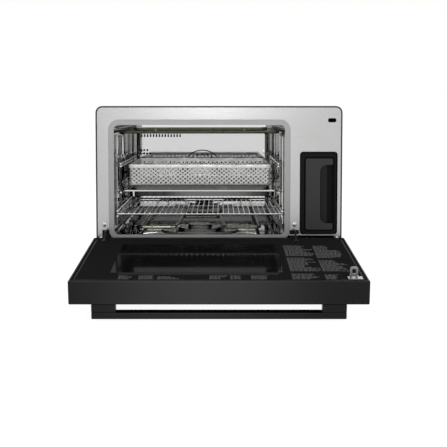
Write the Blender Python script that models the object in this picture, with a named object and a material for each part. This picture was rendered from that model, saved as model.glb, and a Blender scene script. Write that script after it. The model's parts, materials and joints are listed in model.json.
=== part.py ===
"""A countertop steam oven with its drop-down door open. Metres, +Z up, front towards -Y.

The cabinet's own frame has its front plane at y = 0 and the counter at z = 0. The empty
called cabinet moves it so that the open oven's box is centred over the origin.
"""

import math

import bmesh
import bpy
from mathutils import Vector

# Clearances and shared small sizes
FIT = 0.0003
RUNNING_GAP = 0.0010
OVERRUN = 0.0050
SHEET = 0.0015
EDGE = 0.0008
ROUND_SIDES = 24
SMALL_SIDES = 12
WIRE_SIDES = 6
CORNER_STEPS = 5
BEND_STEPS = 4
SMOOTH_ANGLE = math.radians(35)

# Cabinet, from left to right, from the counter up, and from front to back
LEFT_MARGIN = 0.0400
CAVITY_WIDTH = 0.3728
HINGE_COLUMN = 0.0329
RECESS_WIDTH = 0.0826
RIGHT_MARGIN = 0.0099
FOOT_HEIGHT = 0.0160
PLINTH_HEIGHT = 0.0956
CAVITY_HEIGHT = 0.2399
TOP_MARGIN = 0.0415
CAVITY_DEPTH = 0.3300
REAR_SPACE = 0.0650
CASING_WALL = 0.0030
CASING_RADIUS = 0.0145
BASE_THICKNESS = 0.0020
CABINET_WIDTH = LEFT_MARGIN + CAVITY_WIDTH + HINGE_COLUMN + RECESS_WIDTH + RIGHT_MARGIN
CABINET_HALF = CABINET_WIDTH / 2
CABINET_TOP = FOOT_HEIGHT + PLINTH_HEIGHT + CAVITY_HEIGHT + TOP_MARGIN
CABINET_DEPTH = CAVITY_DEPTH + REAR_SPACE
INSIDE_HALF = CABINET_HALF - CASING_WALL
INSIDE_TOP = CABINET_TOP - CASING_WALL
BASE_TOP = FOOT_HEIGHT + BASE_THICKNESS
BEHIND_FRAME = SHEET + FIT

# Feet
FOOT_RADIUS = 0.0140
FOOT_TAPER = 0.0030
FOOT_INSET_SIDE = 0.0450
FOOT_INSET_END = 0.0400

# Cavity, its liner and the trim round its mouth
CAVITY_LEFT = LEFT_MARGIN - CABINET_HALF
CAVITY_RIGHT = CAVITY_LEFT + CAVITY_WIDTH
CAVITY_CENTRE = (CAVITY_LEFT + CAVITY_RIGHT) / 2
CAVITY_FLOOR = FOOT_HEIGHT + PLINTH_HEIGHT
CAVITY_CEILING = CAVITY_FLOOR + CAVITY_HEIGHT
CAVITY_RADIUS = 0.0100
LINER_WALL = 0.0010
STEAM_PORT_RADIUS = 0.0040
TRIM_WIDTH = 0.0120
TRIM_PROUD = 0.0025
TRIM_EDGE = 0.0009

# Front frame
FRAME_SKIRT = 0.0111
FRAME_STEP = 0.0090
FRAME_STEP_INSET = 0.0160
BUMPER_RADIUS = 0.0027
BUMPER_PROUD = 0.0020
BUMPER_INSET = 0.0105
BUMPER_RISE = 0.0045
FRAME_SCREW_RADIUS = 0.0049
FRAME_SCREW_DOME = 0.0019
FRAME_SCREW_SHARES = ((1.00, 0.00), (1.00, 0.33), (0.72, 0.80), (0.30, 1.00))
FRAME_SCREW_HEIGHT = 0.0217
FRAME_SCREW_INSET = 0.0174
FRAME_SCREW_OFFSET = 0.0219

# Tank recess, tank and its front
RECESS_HEIGHT = 0.1820
RECESS_DEPTH = 0.2450
RECESS_RADIUS = 0.0075
RECESS_WALL = 0.0015
TANK_GAP = 0.0015
TANK_WALL = 0.0020
TANK_HEIGHT = 0.1480
TANK_DEPTH = 0.2100
TANK_RADIUS = 0.0060
LID_THICKNESS = 0.0050
LID_PLUG = 0.0030
FRONT_INSET = 0.0030
FRONT_RAISE = 0.0015
FRONT_PLATE = 0.0155
PANEL_MARGIN_LEFT = 0.0125
PANEL_MARGIN_RIGHT = 0.0090
PANEL_MARGIN_TOP = 0.0142
PANEL_MARGIN_BOTTOM = 0.0104
PANEL_RADIUS = 0.0040
PANEL_GROOVE = 0.0025
PANEL_GROOVE_DEPTH = 0.0060
GRIP_WIDTH = 0.0273
GRIP_HEIGHT = 0.1287
GRIP_DEPTH = 0.0045
GRIP_RADIUS = 0.0150
GRIP_HOLD_WIDTH = 0.0120
GRIP_HOLD_DEPTH = 0.0125

# Door and its hinges
DOOR_OPEN_ANGLE = math.radians(96)
DOOR_GAP = 0.0030
DOOR_THICKNESS = 0.0447
DOOR_OVERHANG = 0.0040
DOOR_TOP_GAP = 0.0015
DOOR_LIP = 0.0040
DOOR_BORDER = 0.0090
DOOR_EDGE = 0.0025
HINGE_DROP = 0.0161
HINGE_REACH = 0.0140
HINGE_ARC_RADIUS = 0.0260
HINGE_ARM_DEPTH = 0.0050
HINGE_ARM_WIDTH = 0.0032
HINGE_ARM_TAIL = math.radians(-52)
HINGE_ARM_HEAD = math.radians(80)
HINGE_FLANGE_WIDTH = 0.0090
HINGE_FLANGE_HEIGHT = 0.0140
HINGE_FLANGE_THICKNESS = 0.0012
HINGE_INSET = 0.0232
HINGE_TO_RECESS = 0.0113
HINGE_HOUSING_WIDTH = 0.0180
HINGE_HOUSING_DEPTH = 0.0165
HINGE_HOUSING_HALF = 0.0310
HINGE_SLOT_WIDTH = 0.0200
HINGE_SLOT_TOP = 0.0260
HINGE_SLOT_BOTTOM = 0.0166
GLASS_THICKNESS = 0.0040
GLASS_SINK = 0.0002
PANE_THICKNESS = 0.0030
PANE_OVERLAP = 0.0080
BAFFLE_SHEET = 0.0012
BAFFLE_DEPTH = 0.0140
BAFFLE_EDGE = 0.0090
WINDOW_WIDTH = 0.3230
WINDOW_HEIGHT = 0.1965
WINDOW_RISE = 0.0485
WINDOW_RADIUS = 0.0060

# Handle
HANDLE_LENGTH = 0.4637
HANDLE_BAR_HEIGHT = 0.0165
HANDLE_BAR_DEPTH = 0.0124
HANDLE_GAP = 0.0150
HANDLE_POST_WIDTH = 0.0440
HANDLE_EDGE = 0.0012

# Latch
STRIKER_INSET = 0.0213
STRIKER_DROP = 0.0300
STRIKER_WIDTH = 0.0150
STRIKER_LENGTH = 0.0175
STRIKER_THICKNESS = 0.0030
STRIKER_HOLE_WIDTH = 0.0070
STRIKER_HOLE_HEIGHT = 0.0090
STRIKER_HOLE_INSET = 0.0037
STRIKER_FLANGE_WIDTH = 0.0264
STRIKER_FLANGE_HEIGHT = 0.0150
STRIKER_FOOT_HEIGHT = 0.0250
STRIKER_FLANGE_THICKNESS = 0.0015
LATCH_SLOT_WIDTH = 0.0180
LATCH_SLOT_HEIGHT = 0.0090
LATCH_SLOT_RADIUS = 0.0036
LATCH_SLOT_LIFT = 0.0005
LATCH_SLOT_OFFSET = 0.0012
INTERLOCK_MARGIN = 0.0080
INTERLOCK_DEPTH = 0.0320
INTERLOCK_WALL = 0.0040

# Controls on the door's outer face
CONTROLS_INSET = 0.0750
DISPLAY_WIDTH = 0.0640
DISPLAY_HEIGHT = 0.0280
DISPLAY_THICKNESS = 0.0045
DISPLAY_RISE = 0.2250
KNOB_RADIUS = 0.0200
KNOB_DEPTH = 0.0160
KNOB_SKIRT = 0.0015
KNOB_RISE = 0.1450
KNOB_SHAFT_RADIUS = 0.0030
BUTTON_RADIUS = 0.0065
BUTTON_PROUD = 0.0020
BUTTON_FLANGE = 0.0015
BUTTON_FLANGE_THICKNESS = 0.0010
BUTTON_TRAVEL = 0.0012
BUTTON_RISE = 0.0800
BUTTON_PITCH = 0.0280
BUTTON_COUNT = 3
BOARD_THICKNESS = 0.0016
BOARD_MARGIN = 0.0100

# Fan and its cover
FAN_RISE = 0.1202
FAN_RADIUS = 0.0680
FAN_DEPTH = 0.0150
FAN_DISC = 0.0012
FAN_BLADES = 10
FAN_BLADE = 0.0012
FAN_BLADE_ROOT = 0.0260
FAN_HUB_RADIUS = 0.0120
FAN_SHAFT_RADIUS = 0.0040
FAN_SHAFT_REAR = 0.0200
FAN_SPACE = 0.0240
FAN_BACK_GAP = 0.0050
FAN_COVER_MARGIN_SIDE = 0.0165
FAN_COVER_RISE = 0.0234
FAN_COVER_TOP_GAP = 0.0235
FAN_COVER_SHEET = 0.0010
FAN_COVER_RADIUS = 0.0060
FAN_COVER_BEVEL = 0.0095
FAN_BOSS_RADIUS = 0.0520
FAN_BOSS_PROUD = 0.0025
FAN_GRILLE_RINGS = ((0.0140, 8), (0.0270, 14), (0.0400, 20))
FAN_GRILLE_SLOT = 0.0030
FAN_OUTLET_WIDTH = 0.0060
COVER_VENT_COUNT = 14
COVER_VENT_PITCH = 0.0076
COVER_VENT_RADIUS = 0.0019
COVER_VENT_DROP = 0.0052
COVER_VENT_INSET = 0.0137
FAN_OUTLET_INSET = 0.0030
FAN_OUTLET_MARGIN = 0.0200
MOTOR_RADIUS = 0.0320
MOTOR_DEPTH = 0.0420
MOTOR_PLATE = 0.0020
MOTOR_PLATE_HALF = 0.0440

# Heating elements, reflector and evaporator
ELEMENT_RADIUS = 0.0033
ELEMENT_BEND = 0.0120
OUTER_LOOP_DROP = 0.0168
OUTER_LOOP_HALF = 0.1765
OUTER_LOOP_FRONT = 0.0600
INNER_LOOP_DROP = 0.0105
INNER_LOOP_HALF = 0.1500
INNER_LOOP_FRONT = 0.0690
LOOP_CLIP_WIDTH = 0.0040
LOOP_CLIP_OFFSET = 0.1000
REFLECTOR_DROP = 0.0065
REFLECTOR_SHEET = 0.0012
REFLECTOR_HALF = 0.1410
REFLECTOR_FRONT = 0.0480
REFLECTOR_REAR = 0.2800
LOWER_ELEMENT_RISE = 0.0120
LOWER_ELEMENT_HALF = 0.1335
LOWER_ELEMENT_RADIUS = 0.0042
LOWER_ELEMENT_INNER = 0.0545
LOWER_ELEMENT_LOOP = 0.0465
LOWER_ELEMENT_FRONT = 0.0315
LOWER_ELEMENT_REAR = 0.2050
CLIP_WIDTH = 0.0030
CLIP_HALF = 0.0060
CLIP_HEIGHT = 0.0190
CLIP_OFFSET = 0.1065
EVAPORATOR_CENTRE = 0.0575
EVAPORATOR_BASE_HALF = 0.0880
EVAPORATOR_BASE_DEPTH = 0.0495
EVAPORATOR_BASE_HEIGHT = 0.0025
EVAPORATOR_LEG_GAP = 0.0022
EVAPORATOR_HEIGHT = 0.0097
EVAPORATOR_CROWN_RADIUS = 0.0270
EVAPORATOR_CROWN_HEIGHT = 0.0154
EVAPORATOR_CHAMFER = 0.0015

# Side racks, shelves and pan
RAIL_RADIUS = 0.0020
UPRIGHT_RADIUS = 0.0015
UPRIGHT_FRONT = 0.0300
UPRIGHT_MIDDLE = 0.1080
UPRIGHT_REAR = 0.2850
UPRIGHT_BOTTOM = 0.0190
UPRIGHT_TOP = 0.2130
RAIL_FRONT = 0.0130
RAIL_REAR = 0.2980
NEAR_RAIL_OFFSET = 0.0048
FAR_RAIL_OFFSET = 0.0129
RAIL_HEADROOM = 0.0050
GUIDE_RISE = 0.1490
GUIDE_SPACING = 0.0056
SHELF_BAR_RADIUS = 0.0020
SHELF_WIRE_RADIUS = 0.0010
SHELF_WIRE_SINK = 0.0006
SHELF_WIRE_PITCH = 0.0115
SHELF_FRONT = 0.0150
SHELF_REAR = 0.2800
LOWER_SHELF_RISE = 0.0431
LOWER_SHELF_OFFSET = 0.0039
BAKING_TRAY_RISE = 0.0963
BAKING_TRAY_OFFSET = 0.0134
BAKING_TRAY_FRONT = 0.0150
BAKING_TRAY_REAR = 0.2900
BAKING_TRAY_FLANGE = 0.0160
BAKING_TRAY_END_FLANGE = 0.0080
BAKING_TRAY_LIP = 0.0027
BAKING_TRAY_DEPTH = 0.0147
BAKING_TRAY_TAPER = 0.0026
BAKING_TRAY_WALL = 0.0010
BAKING_TRAY_RADIUS = 0.0120
PAN_MARGIN = 0.0264
PAN_FRONT = 0.0300
PAN_REAR = 0.2800
PAN_HEIGHT = 0.0693
PAN_RIM = 0.0035
PAN_LIP = 0.0080
PAN_TAPER = 0.0010
PAN_WALL = 0.0010
PAN_RADIUS = 0.0060
PAN_FOOT_RADIUS = 0.0240
PAN_FOOT_STEPS = 4

# Drip tray behind the plinth
TRAY_WIDTH = 0.2700
TRAY_HEIGHT = 0.0220
TRAY_DEPTH = 0.1900
TRAY_WALL = 0.0015
TRAY_FRONT_MARGIN = 0.0040
TRAY_FRONT_THICKNESS = 0.0025
TRAY_RADIUS = 0.0030

# Rear panel and inlet
REAR_INSET = 0.0035
VENT_COUNT = 9
VENT_WIDTH = 0.1200
VENT_HEIGHT = 0.0040
VENT_PITCH = 0.0110
VENT_RISE = 0.0400
INLET_WIDTH = 0.0270
INLET_HEIGHT = 0.0200
INLET_DEPTH = 0.0220
INLET_FLANGE = 0.0050
INLET_FLANGE_THICKNESS = 0.0018
INLET_POCKET = 0.0160
INLET_WALL = 0.0025
INLET_RISE = 0.0300
INLET_INSET = 0.0500

# Steam and water works, and the electronics
BOILER_RADIUS = 0.0400
BOILER_HEIGHT = 0.1200
BOILER_DOME = 0.0100
PUMP_WIDTH = 0.0440
PUMP_DEPTH = 0.0600
PUMP_HEIGHT = 0.0460
PUMP_FRONT = 0.1100
HOSE_RADIUS = 0.0040
STEAM_PIPE_RADIUS = 0.0050
STEAM_PIPE_BEND = 0.0160
STEAM_PORT_RISE = 0.1600
STEAM_PORT_DEPTH = 0.2800
POWER_BOARD_WIDTH = 0.0720
POWER_BOARD_FRONT = 0.0600
POWER_BOARD_DEPTH = 0.1600
POWER_BOARD_LIFT = 0.0080
POST_HALF = 0.0030
RELAY_WIDTH = 0.0160
RELAY_DEPTH = 0.0200
RELAY_HEIGHT = 0.0170
RELAY_PITCH = 0.0260
RELAY_COUNT = 3
TRANSFORMER_HALF = 0.0180
TRANSFORMER_HEIGHT = 0.0300

# Finishes: colour, roughness, metallic
SATIN_STEEL = ((0.62, 0.62, 0.61), 0.34, 1.0)
BRIGHT_STEEL = ((0.70, 0.70, 0.69), 0.20, 1.0)
TRIM_GREY = ((0.40, 0.40, 0.41), 0.45, 0.6)
DARK_PAINT = ((0.035, 0.035, 0.037), 0.45, 0.3)
GALVANISED = ((0.48, 0.49, 0.50), 0.45, 1.0)
DARK_STEEL = ((0.09, 0.09, 0.09), 0.40, 1.0)
BLACK_PLASTIC = ((0.012, 0.012, 0.013), 0.50, 0.0)
DARK_PLASTIC = ((0.030, 0.030, 0.032), 0.45, 0.0)
BLACK_GLASS = ((0.010, 0.010, 0.011), 0.12, 0.0)
CLEAR_PANE = ((0.20, 0.21, 0.21), 0.08, 0.0)
CLEAR_PLASTIC = ((0.30, 0.32, 0.34), 0.25, 0.0)
ELEMENT_OLIVE = ((0.16, 0.16, 0.11), 0.45, 0.7)
RUBBER = ((0.015, 0.015, 0.015), 0.80, 0.0)
HOSE_WHITE = ((0.60, 0.60, 0.58), 0.55, 0.0)
BOARD_GREEN = ((0.03, 0.12, 0.06), 0.60, 0.0)
WHITE_PLASTIC = ((0.65, 0.65, 0.62), 0.50, 0.0)

# Places worked out from those sizes
RECESS_LEFT = CAVITY_RIGHT + HINGE_COLUMN
RECESS_RIGHT = RECESS_LEFT + RECESS_WIDTH
RECESS_FLOOR = CAVITY_FLOOR
RECESS_TOP = RECESS_FLOOR + RECESS_HEIGHT
RECESS_CENTRE = (RECESS_LEFT + RECESS_RIGHT) / 2
FRAME_BOTTOM = CAVITY_FLOOR - FRAME_SKIRT
HINGE_Z = CAVITY_FLOOR - HINGE_DROP
HINGE_LEFT = HINGE_INSET - CABINET_HALF
HINGE_RIGHT = RECESS_LEFT - HINGE_TO_RECESS
DOOR_HALF = CABINET_HALF + DOOR_OVERHANG
DOOR_HIGH = CABINET_TOP - DOOR_TOP_GAP - HINGE_Z
DOOR_INNER = HINGE_REACH - DOOR_GAP
DOOR_OUTER = DOOR_INNER - DOOR_THICKNESS
STRIKER_X = CABINET_HALF - STRIKER_INSET
STRIKER_Z = DOOR_HIGH - STRIKER_DROP
LATCH_SLOT_X = STRIKER_X - LATCH_SLOT_OFFSET
LATCH_SLOT_Z = HINGE_Z + STRIKER_Z + LATCH_SLOT_LIFT
CONTROLS_X = DOOR_HALF - CONTROLS_INSET
FAN_Z = CAVITY_FLOOR + FAN_RISE
LOWER_SHELF_Z = CAVITY_FLOOR + LOWER_SHELF_RISE
BAKING_TRAY_Z = CAVITY_FLOOR + BAKING_TRAY_RISE
DOOR_REACH = (
    HINGE_REACH
    - (DOOR_INNER - DOOR_EDGE) * math.cos(DOOR_OPEN_ANGLE)
    + (DOOR_HIGH - DOOR_EDGE) * math.sin(DOOR_OPEN_ANGLE)
    + DOOR_EDGE
)
FRONT_PLANE = (DOOR_REACH - CABINET_DEPTH) / 2


# Outlines and meshes


def rectangle(left, low, right, high):
    return [(right, low), (right, high), (left, high), (left, low)]


def rounded(left, low, right, high, radius):
    """A rectangle with round corners, anticlockwise from its top right."""
    centres = (
        (right - radius, high - radius, 0),
        (left + radius, high - radius, 1),
        (left + radius, low + radius, 2),
        (right - radius, low + radius, 3),
    )
    points = []
    for across, up, quarter in centres:
        for step in range(CORNER_STEPS + 1):
            angle = math.pi / 2 * (quarter + step / CORNER_STEPS)
            points.append((across + radius * math.cos(angle), up + radius * math.sin(angle)))
    return points


def arch(half, low, high, radius):
    """A rectangle about x = 0 whose upper two corners are round."""
    upper = rounded(-half, low, half, high, radius)[: 2 * (CORNER_STEPS + 1)]
    return upper + [(-half, low), (half, low)]


def tongue(left, low, right, high, radius):
    """A rectangle whose two left corners are round."""
    count = CORNER_STEPS + 1
    return rounded(left, low, right, high, radius)[count : 3 * count] + [(right, low), (right, high)]


def circle(across, up, radius, sides=ROUND_SIDES):
    turns = [2 * math.pi * step / sides for step in range(sides)]
    return [(across + radius * math.cos(a), up + radius * math.sin(a)) for a in turns]


def sector(inner, outer, start, end, steps):
    """Part of a ring about the origin, between two angles."""
    angles = [start + (end - start) * step / steps for step in range(steps + 1)]
    far = [(outer * math.cos(a), outer * math.sin(a)) for a in angles]
    near = [(inner * math.cos(a), inner * math.sin(a)) for a in reversed(angles)]
    return far + near


def place(axis, first, second, depth):
    """A point from its two coordinates across an axis and its depth along it."""
    if axis == "X":
        return (depth, first, second)
    if axis == "Y":
        return (first, depth, second)
    return (first, second, depth)


def loft(rings):
    """A closed mesh through rings of as many points each, with its first and last ring filled."""
    bm = bmesh.new()
    loops = [[bm.verts.new(point) for point in ring] for ring in rings]
    bm.faces.new(loops[0])
    bm.faces.new(list(reversed(loops[-1])))
    for loop, following in zip(loops, loops[1:]):
        for i in range(len(loop)):
            j = (i + 1) % len(loop)
            bm.faces.new((loop[i], loop[j], following[j], following[i]))
    return bm


def prism(outline, axis, low, high):
    return loft([[place(axis, a, b, depth) for a, b in outline] for depth in (low, high)])


def box(low, high):
    return prism(rectangle(low[0], low[2], high[0], high[2]), "Y", low[1], high[1])


def turned(profile, axis, across, up, sides=ROUND_SIDES):
    """A turned solid from its radii and their depths along the axis."""
    return loft(
        [[place(axis, a, b, depth) for a, b in circle(across, up, r, sides)] for r, depth in profile]
    )


def tube(points, radius, sides=SMALL_SIDES):
    """A round tube along a path, its rings carried along without twist."""
    path = [Vector(point) for point in points]
    rings = []
    side = None
    for i, point in enumerate(path):
        ahead = path[min(i + 1, len(path) - 1)] - point
        behind = point - path[max(i - 1, 0)]
        along = (ahead.normalized() + behind.normalized()).normalized()
        if side is None:
            side = along.orthogonal().normalized()
        side = (side - along * side.dot(along)).normalized()
        up = along.cross(side)
        turns = [2 * math.pi * step / sides for step in range(sides)]
        rings.append([point + radius * (math.cos(a) * side + math.sin(a) * up) for a in turns])
    return loft(rings)


def bent(corners, radius):
    """A path through corners that are rounded with arcs."""
    path = [Vector(corners[0])]
    for before, corner, after in zip(corners, corners[1:], corners[2:]):
        corner = Vector(corner)
        back = (Vector(before) - corner).normalized()
        onward = (Vector(after) - corner).normalized()
        half = back.angle(onward) / 2
        centre = corner + (back + onward).normalized() * (radius / math.sin(half))
        start = corner + back * (radius / math.tan(half)) - centre
        finish = corner + onward * (radius / math.tan(half)) - centre
        for step in range(BEND_STEPS + 1):
            path.append(centre + radius * start.slerp(finish, step / BEND_STEPS))
    path.append(Vector(corners[-1]))
    return path


def together(*meshes):
    """Several closed meshes in one."""
    whole = meshes[0]
    for bm in meshes[1:]:
        scratch = bpy.data.meshes.new("scratch")
        bm.to_mesh(scratch)
        bm.free()
        whole.from_mesh(scratch)
        bpy.data.meshes.remove(scratch)
    return whole


# Objects


def empty(name, parent, location):
    holder = bpy.data.objects.new(name, None)
    bpy.context.collection.objects.link(holder)
    holder.parent = parent
    holder.location = location
    return holder


def finish_of(name, finish):
    colour, roughness, metallic = finish
    material = bpy.data.materials.new(name)
    material.use_nodes = True
    shader = material.node_tree.nodes["Principled BSDF"]
    shader.inputs["Base Color"].default_value = (*colour, 1)
    shader.inputs["Roughness"].default_value = roughness
    shader.inputs["Metallic"].default_value = metallic
    return material


def piece(name, bm, parent, finish=None):
    """An object with its origin in the middle of its mesh, which is given in its parent's frame."""
    lows = [min(vert.co[i] for vert in bm.verts) for i in range(3)]
    highs = [max(vert.co[i] for vert in bm.verts) for i in range(3)]
    middle = (Vector(lows) + Vector(highs)) / 2
    bmesh.ops.translate(bm, verts=bm.verts, vec=-middle)
    bmesh.ops.recalc_face_normals(bm, faces=bm.faces)
    mesh = bpy.data.meshes.new(name)
    bm.to_mesh(mesh)
    bm.free()
    mesh.shade_smooth()
    mesh.set_sharp_from_angle(angle=SMOOTH_ANGLE)
    made = bpy.data.objects.new(name, mesh)
    bpy.context.collection.objects.link(made)
    made.parent = parent
    made.location = middle
    if finish:
        mesh.materials.append(finish_of(name, finish))
    return made


def combine(made, bm, operation, crossing=False):
    """Joins a mesh to an object, or cuts it out, with a Boolean that keeps its own hidden helper."""
    helper = piece(f"{made.name}_{operation.lower()}", bm, made.parent)
    helper.hide_render = True
    helper.display_type = "WIRE"
    boolean = made.modifiers.new(operation.lower(), "BOOLEAN")
    boolean.operation = operation
    boolean.solver = "EXACT"
    boolean.use_self = crossing
    boolean.object = helper


def cut(made, *meshes):
    for bm in meshes:
        combine(made, bm, "DIFFERENCE")


def join(made, *meshes, crossing=False):
    for bm in meshes:
        combine(made, bm, "UNION", crossing)


def rounded_edges(made, width, segments=2):
    bevel = made.modifiers.new("edges", "BEVEL")
    bevel.width = width
    bevel.segments = segments
    bevel.limit_method = "ANGLE"
    bevel.angle_limit = SMOOTH_ANGLE


# Casing, base and feet


def outer_casing(cabinet):
    casing = piece(
        "outer_casing",
        prism(arch(CABINET_HALF, FOOT_HEIGHT, CABINET_TOP, CASING_RADIUS), "Y", 0, CABINET_DEPTH),
        cabinet,
        DARK_PAINT,
    )
    inside = arch(INSIDE_HALF, FOOT_HEIGHT - OVERRUN, INSIDE_TOP, CASING_RADIUS - CASING_WALL)
    cut(casing, prism(inside, "Y", -OVERRUN, CABINET_DEPTH + OVERRUN))


def base_and_feet(cabinet):
    piece(
        "base_pan",
        box(
            (FIT - INSIDE_HALF, FIT, FOOT_HEIGHT),
            (INSIDE_HALF - FIT, CABINET_DEPTH - FIT, BASE_TOP),
        ),
        cabinet,
        GALVANISED,
    )
    side = CABINET_HALF - FOOT_INSET_SIDE
    corners = (
        ("foot_front_left", -side, FOOT_INSET_END),
        ("foot_front_right", side, FOOT_INSET_END),
        ("foot_rear_left", -side, CABINET_DEPTH - FOOT_INSET_END),
        ("foot_rear_right", side, CABINET_DEPTH - FOOT_INSET_END),
    )
    profile = ((FOOT_RADIUS - FOOT_TAPER, 0), (FOOT_RADIUS, FOOT_HEIGHT - FIT))
    for name, across, back in corners:
        piece(name, turned(profile, "Z", across, back, ROUND_SIDES), cabinet, RUBBER)


# Front of the cabinet


def front_frame(cabinet):
    frame = piece(
        "front_frame",
        prism(
            arch(INSIDE_HALF - FIT, FRAME_BOTTOM, INSIDE_TOP - FIT, CASING_RADIUS - CASING_WALL),
            "Y",
            0,
            SHEET,
        ),
        cabinet,
        SATIN_STEEL,
    )
    front, back = -OVERRUN, SHEET + OVERRUN
    mouth = rounded(CAVITY_LEFT, CAVITY_FLOOR, CAVITY_RIGHT, CAVITY_CEILING, CAVITY_RADIUS)
    recess = rounded(RECESS_LEFT, RECESS_FLOOR, RECESS_RIGHT, RECESS_TOP, RECESS_RADIUS)
    slot_half = LATCH_SLOT_WIDTH / 2
    slot_rise = LATCH_SLOT_HEIGHT / 2
    latch = rounded(
        LATCH_SLOT_X - slot_half,
        LATCH_SLOT_Z - slot_rise,
        LATCH_SLOT_X + slot_half,
        LATCH_SLOT_Z + slot_rise,
        LATCH_SLOT_RADIUS,
    )
    hinge_half = HINGE_SLOT_WIDTH / 2
    left_slot = rectangle(
        HINGE_LEFT - hinge_half,
        FRAME_BOTTOM - OVERRUN,
        HINGE_LEFT + hinge_half,
        HINGE_Z + HINGE_SLOT_TOP,
    )
    right_slot = rectangle(
        HINGE_RIGHT - hinge_half,
        HINGE_Z + HINGE_SLOT_BOTTOM,
        HINGE_RIGHT + hinge_half,
        HINGE_Z + HINGE_SLOT_TOP,
    )
    step = rectangle(
        CAVITY_RIGHT + TRIM_WIDTH / 2,
        FRAME_BOTTOM - OVERRUN,
        CABINET_HALF - FRAME_STEP_INSET,
        FRAME_BOTTOM + FRAME_STEP,
    )
    for outline in (mouth, recess, latch, left_slot, right_slot, step):
        cut(frame, prism(outline, "Y", front, back))


def frame_screws(cabinet):
    height = CAVITY_FLOOR + FRAME_SCREW_HEIGHT
    places = (
        ("frame_screw_left", FRAME_SCREW_INSET - CABINET_HALF),
        ("frame_screw_right", CAVITY_RIGHT + FRAME_SCREW_OFFSET),
    )
    profile = [
        (FRAME_SCREW_RADIUS * wide, -FIT - FRAME_SCREW_DOME * proud)
        for wide, proud in FRAME_SCREW_SHARES
    ]
    for name, across in places:
        piece(name, turned(profile, "Y", across, height), cabinet, BRIGHT_STEEL)


def door_bumpers(cabinet):
    """Round stops at the frame's lower corners, just short of the closed door."""
    side = CABINET_HALF - BUMPER_INSET
    height = FRAME_BOTTOM + BUMPER_RISE
    profile = (
        (BUMPER_RADIUS, -FIT),
        (BUMPER_RADIUS, EDGE - BUMPER_PROUD),
        (BUMPER_RADIUS - EDGE, -BUMPER_PROUD),
    )
    for name, across in (("door_bumper_left", -side), ("door_bumper_right", side)):
        bumper = turned(profile, "Y", across, height, SMALL_SIDES)
        piece(name, bumper, cabinet, WHITE_PLASTIC)


def plinth_panel(cabinet):
    panel = piece(
        "plinth_panel",
        box(
            (FIT - INSIDE_HALF, FIT, BASE_TOP + FIT),
            (INSIDE_HALF - FIT, SHEET, FRAME_BOTTOM - FIT),
        ),
        cabinet,
        DARK_PAINT,
    )
    half = TRAY_WIDTH / 2 + RUNNING_GAP
    top = BASE_TOP + FIT + TRAY_HEIGHT + RUNNING_GAP
    notch = HINGE_HOUSING_WIDTH / 2 + RUNNING_GAP
    cut(
        panel,
        box(
            (CAVITY_CENTRE - half, -OVERRUN, BASE_TOP - OVERRUN),
            (CAVITY_CENTRE + half, SHEET + OVERRUN, top),
        ),
    )
    for across in (HINGE_LEFT, HINGE_RIGHT):
        cut(
            panel,
            box(
                (across - notch, -OVERRUN, HINGE_Z - HINGE_HOUSING_HALF - RUNNING_GAP),
                (across + notch, SHEET + OVERRUN, FRAME_BOTTOM + OVERRUN),
            ),
        )


def cavity_trim(cabinet):
    """The grey ring round the cavity's mouth, with its front edges taken off."""
    wide = TRIM_WIDTH
    radius = CAVITY_RADIUS + wide

    def ring_of(inset, depth):
        outline = rounded(
            CAVITY_LEFT - wide + inset,
            CAVITY_FLOOR - wide + inset,
            CAVITY_RIGHT + wide - inset,
            CAVITY_CEILING + wide - inset,
            radius - inset,
        )
        return [place("Y", a, b, depth) for a, b in outline]

    trim = piece(
        "cavity_trim",
        loft(
            [
                ring_of(0, -FIT),
                ring_of(0, TRIM_EDGE - TRIM_PROUD),
                ring_of(TRIM_EDGE, -TRIM_PROUD),
            ]
        ),
        cabinet,
        TRIM_GREY,
    )
    mouth = rounded(CAVITY_LEFT, CAVITY_FLOOR, CAVITY_RIGHT, CAVITY_CEILING, CAVITY_RADIUS)
    cut(trim, prism(mouth, "Y", -OVERRUN, OVERRUN))


def door_interlock(cabinet):
    """The switch housing behind the latch slot, with the pocket that the striker enters."""
    half = LATCH_SLOT_WIDTH / 2
    rise = LATCH_SLOT_HEIGHT / 2
    back = BEHIND_FRAME + INTERLOCK_DEPTH
    made = piece(
        "door_interlock",
        box(
            (LATCH_SLOT_X - half - INTERLOCK_MARGIN, BEHIND_FRAME, LATCH_SLOT_Z - rise - INTERLOCK_MARGIN),
            (LATCH_SLOT_X + half + INTERLOCK_MARGIN, back, LATCH_SLOT_Z + rise + INTERLOCK_MARGIN),
        ),
        cabinet,
        BLACK_PLASTIC,
    )
    cut(
        made,
        box(
            (LATCH_SLOT_X - half, -OVERRUN, LATCH_SLOT_Z - rise),
            (LATCH_SLOT_X + half, back - INTERLOCK_WALL, LATCH_SLOT_Z + rise),
        ),
    )


def hinge_housings(cabinet):
    """Blocks whose curved channels carry the arms of the door."""
    half = HINGE_HOUSING_WIDTH / 2
    slot = HINGE_ARM_WIDTH / 2 + FIT
    inner = HINGE_ARC_RADIUS - HINGE_ARM_DEPTH / 2 - FIT
    outer = HINGE_ARC_RADIUS + HINGE_ARM_DEPTH / 2 + FIT
    channel = [
        (across - HINGE_REACH, up + HINGE_Z)
        for across, up in sector(inner, outer, -math.pi / 2, math.pi / 2, 2 * SMALL_SIDES)
    ]
    for name, across in (("hinge_housing_left", HINGE_LEFT), ("hinge_housing_right", HINGE_RIGHT)):
        housing = piece(
            name,
            box(
                (across - half, BEHIND_FRAME, HINGE_Z - HINGE_HOUSING_HALF),
                (across + half, BEHIND_FRAME + HINGE_HOUSING_DEPTH, HINGE_Z + HINGE_HOUSING_HALF),
            ),
            cabinet,
            DARK_STEEL,
        )
        cut(housing, prism(channel, "X", across - slot, across + slot))


# Rear of the cabinet


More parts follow.
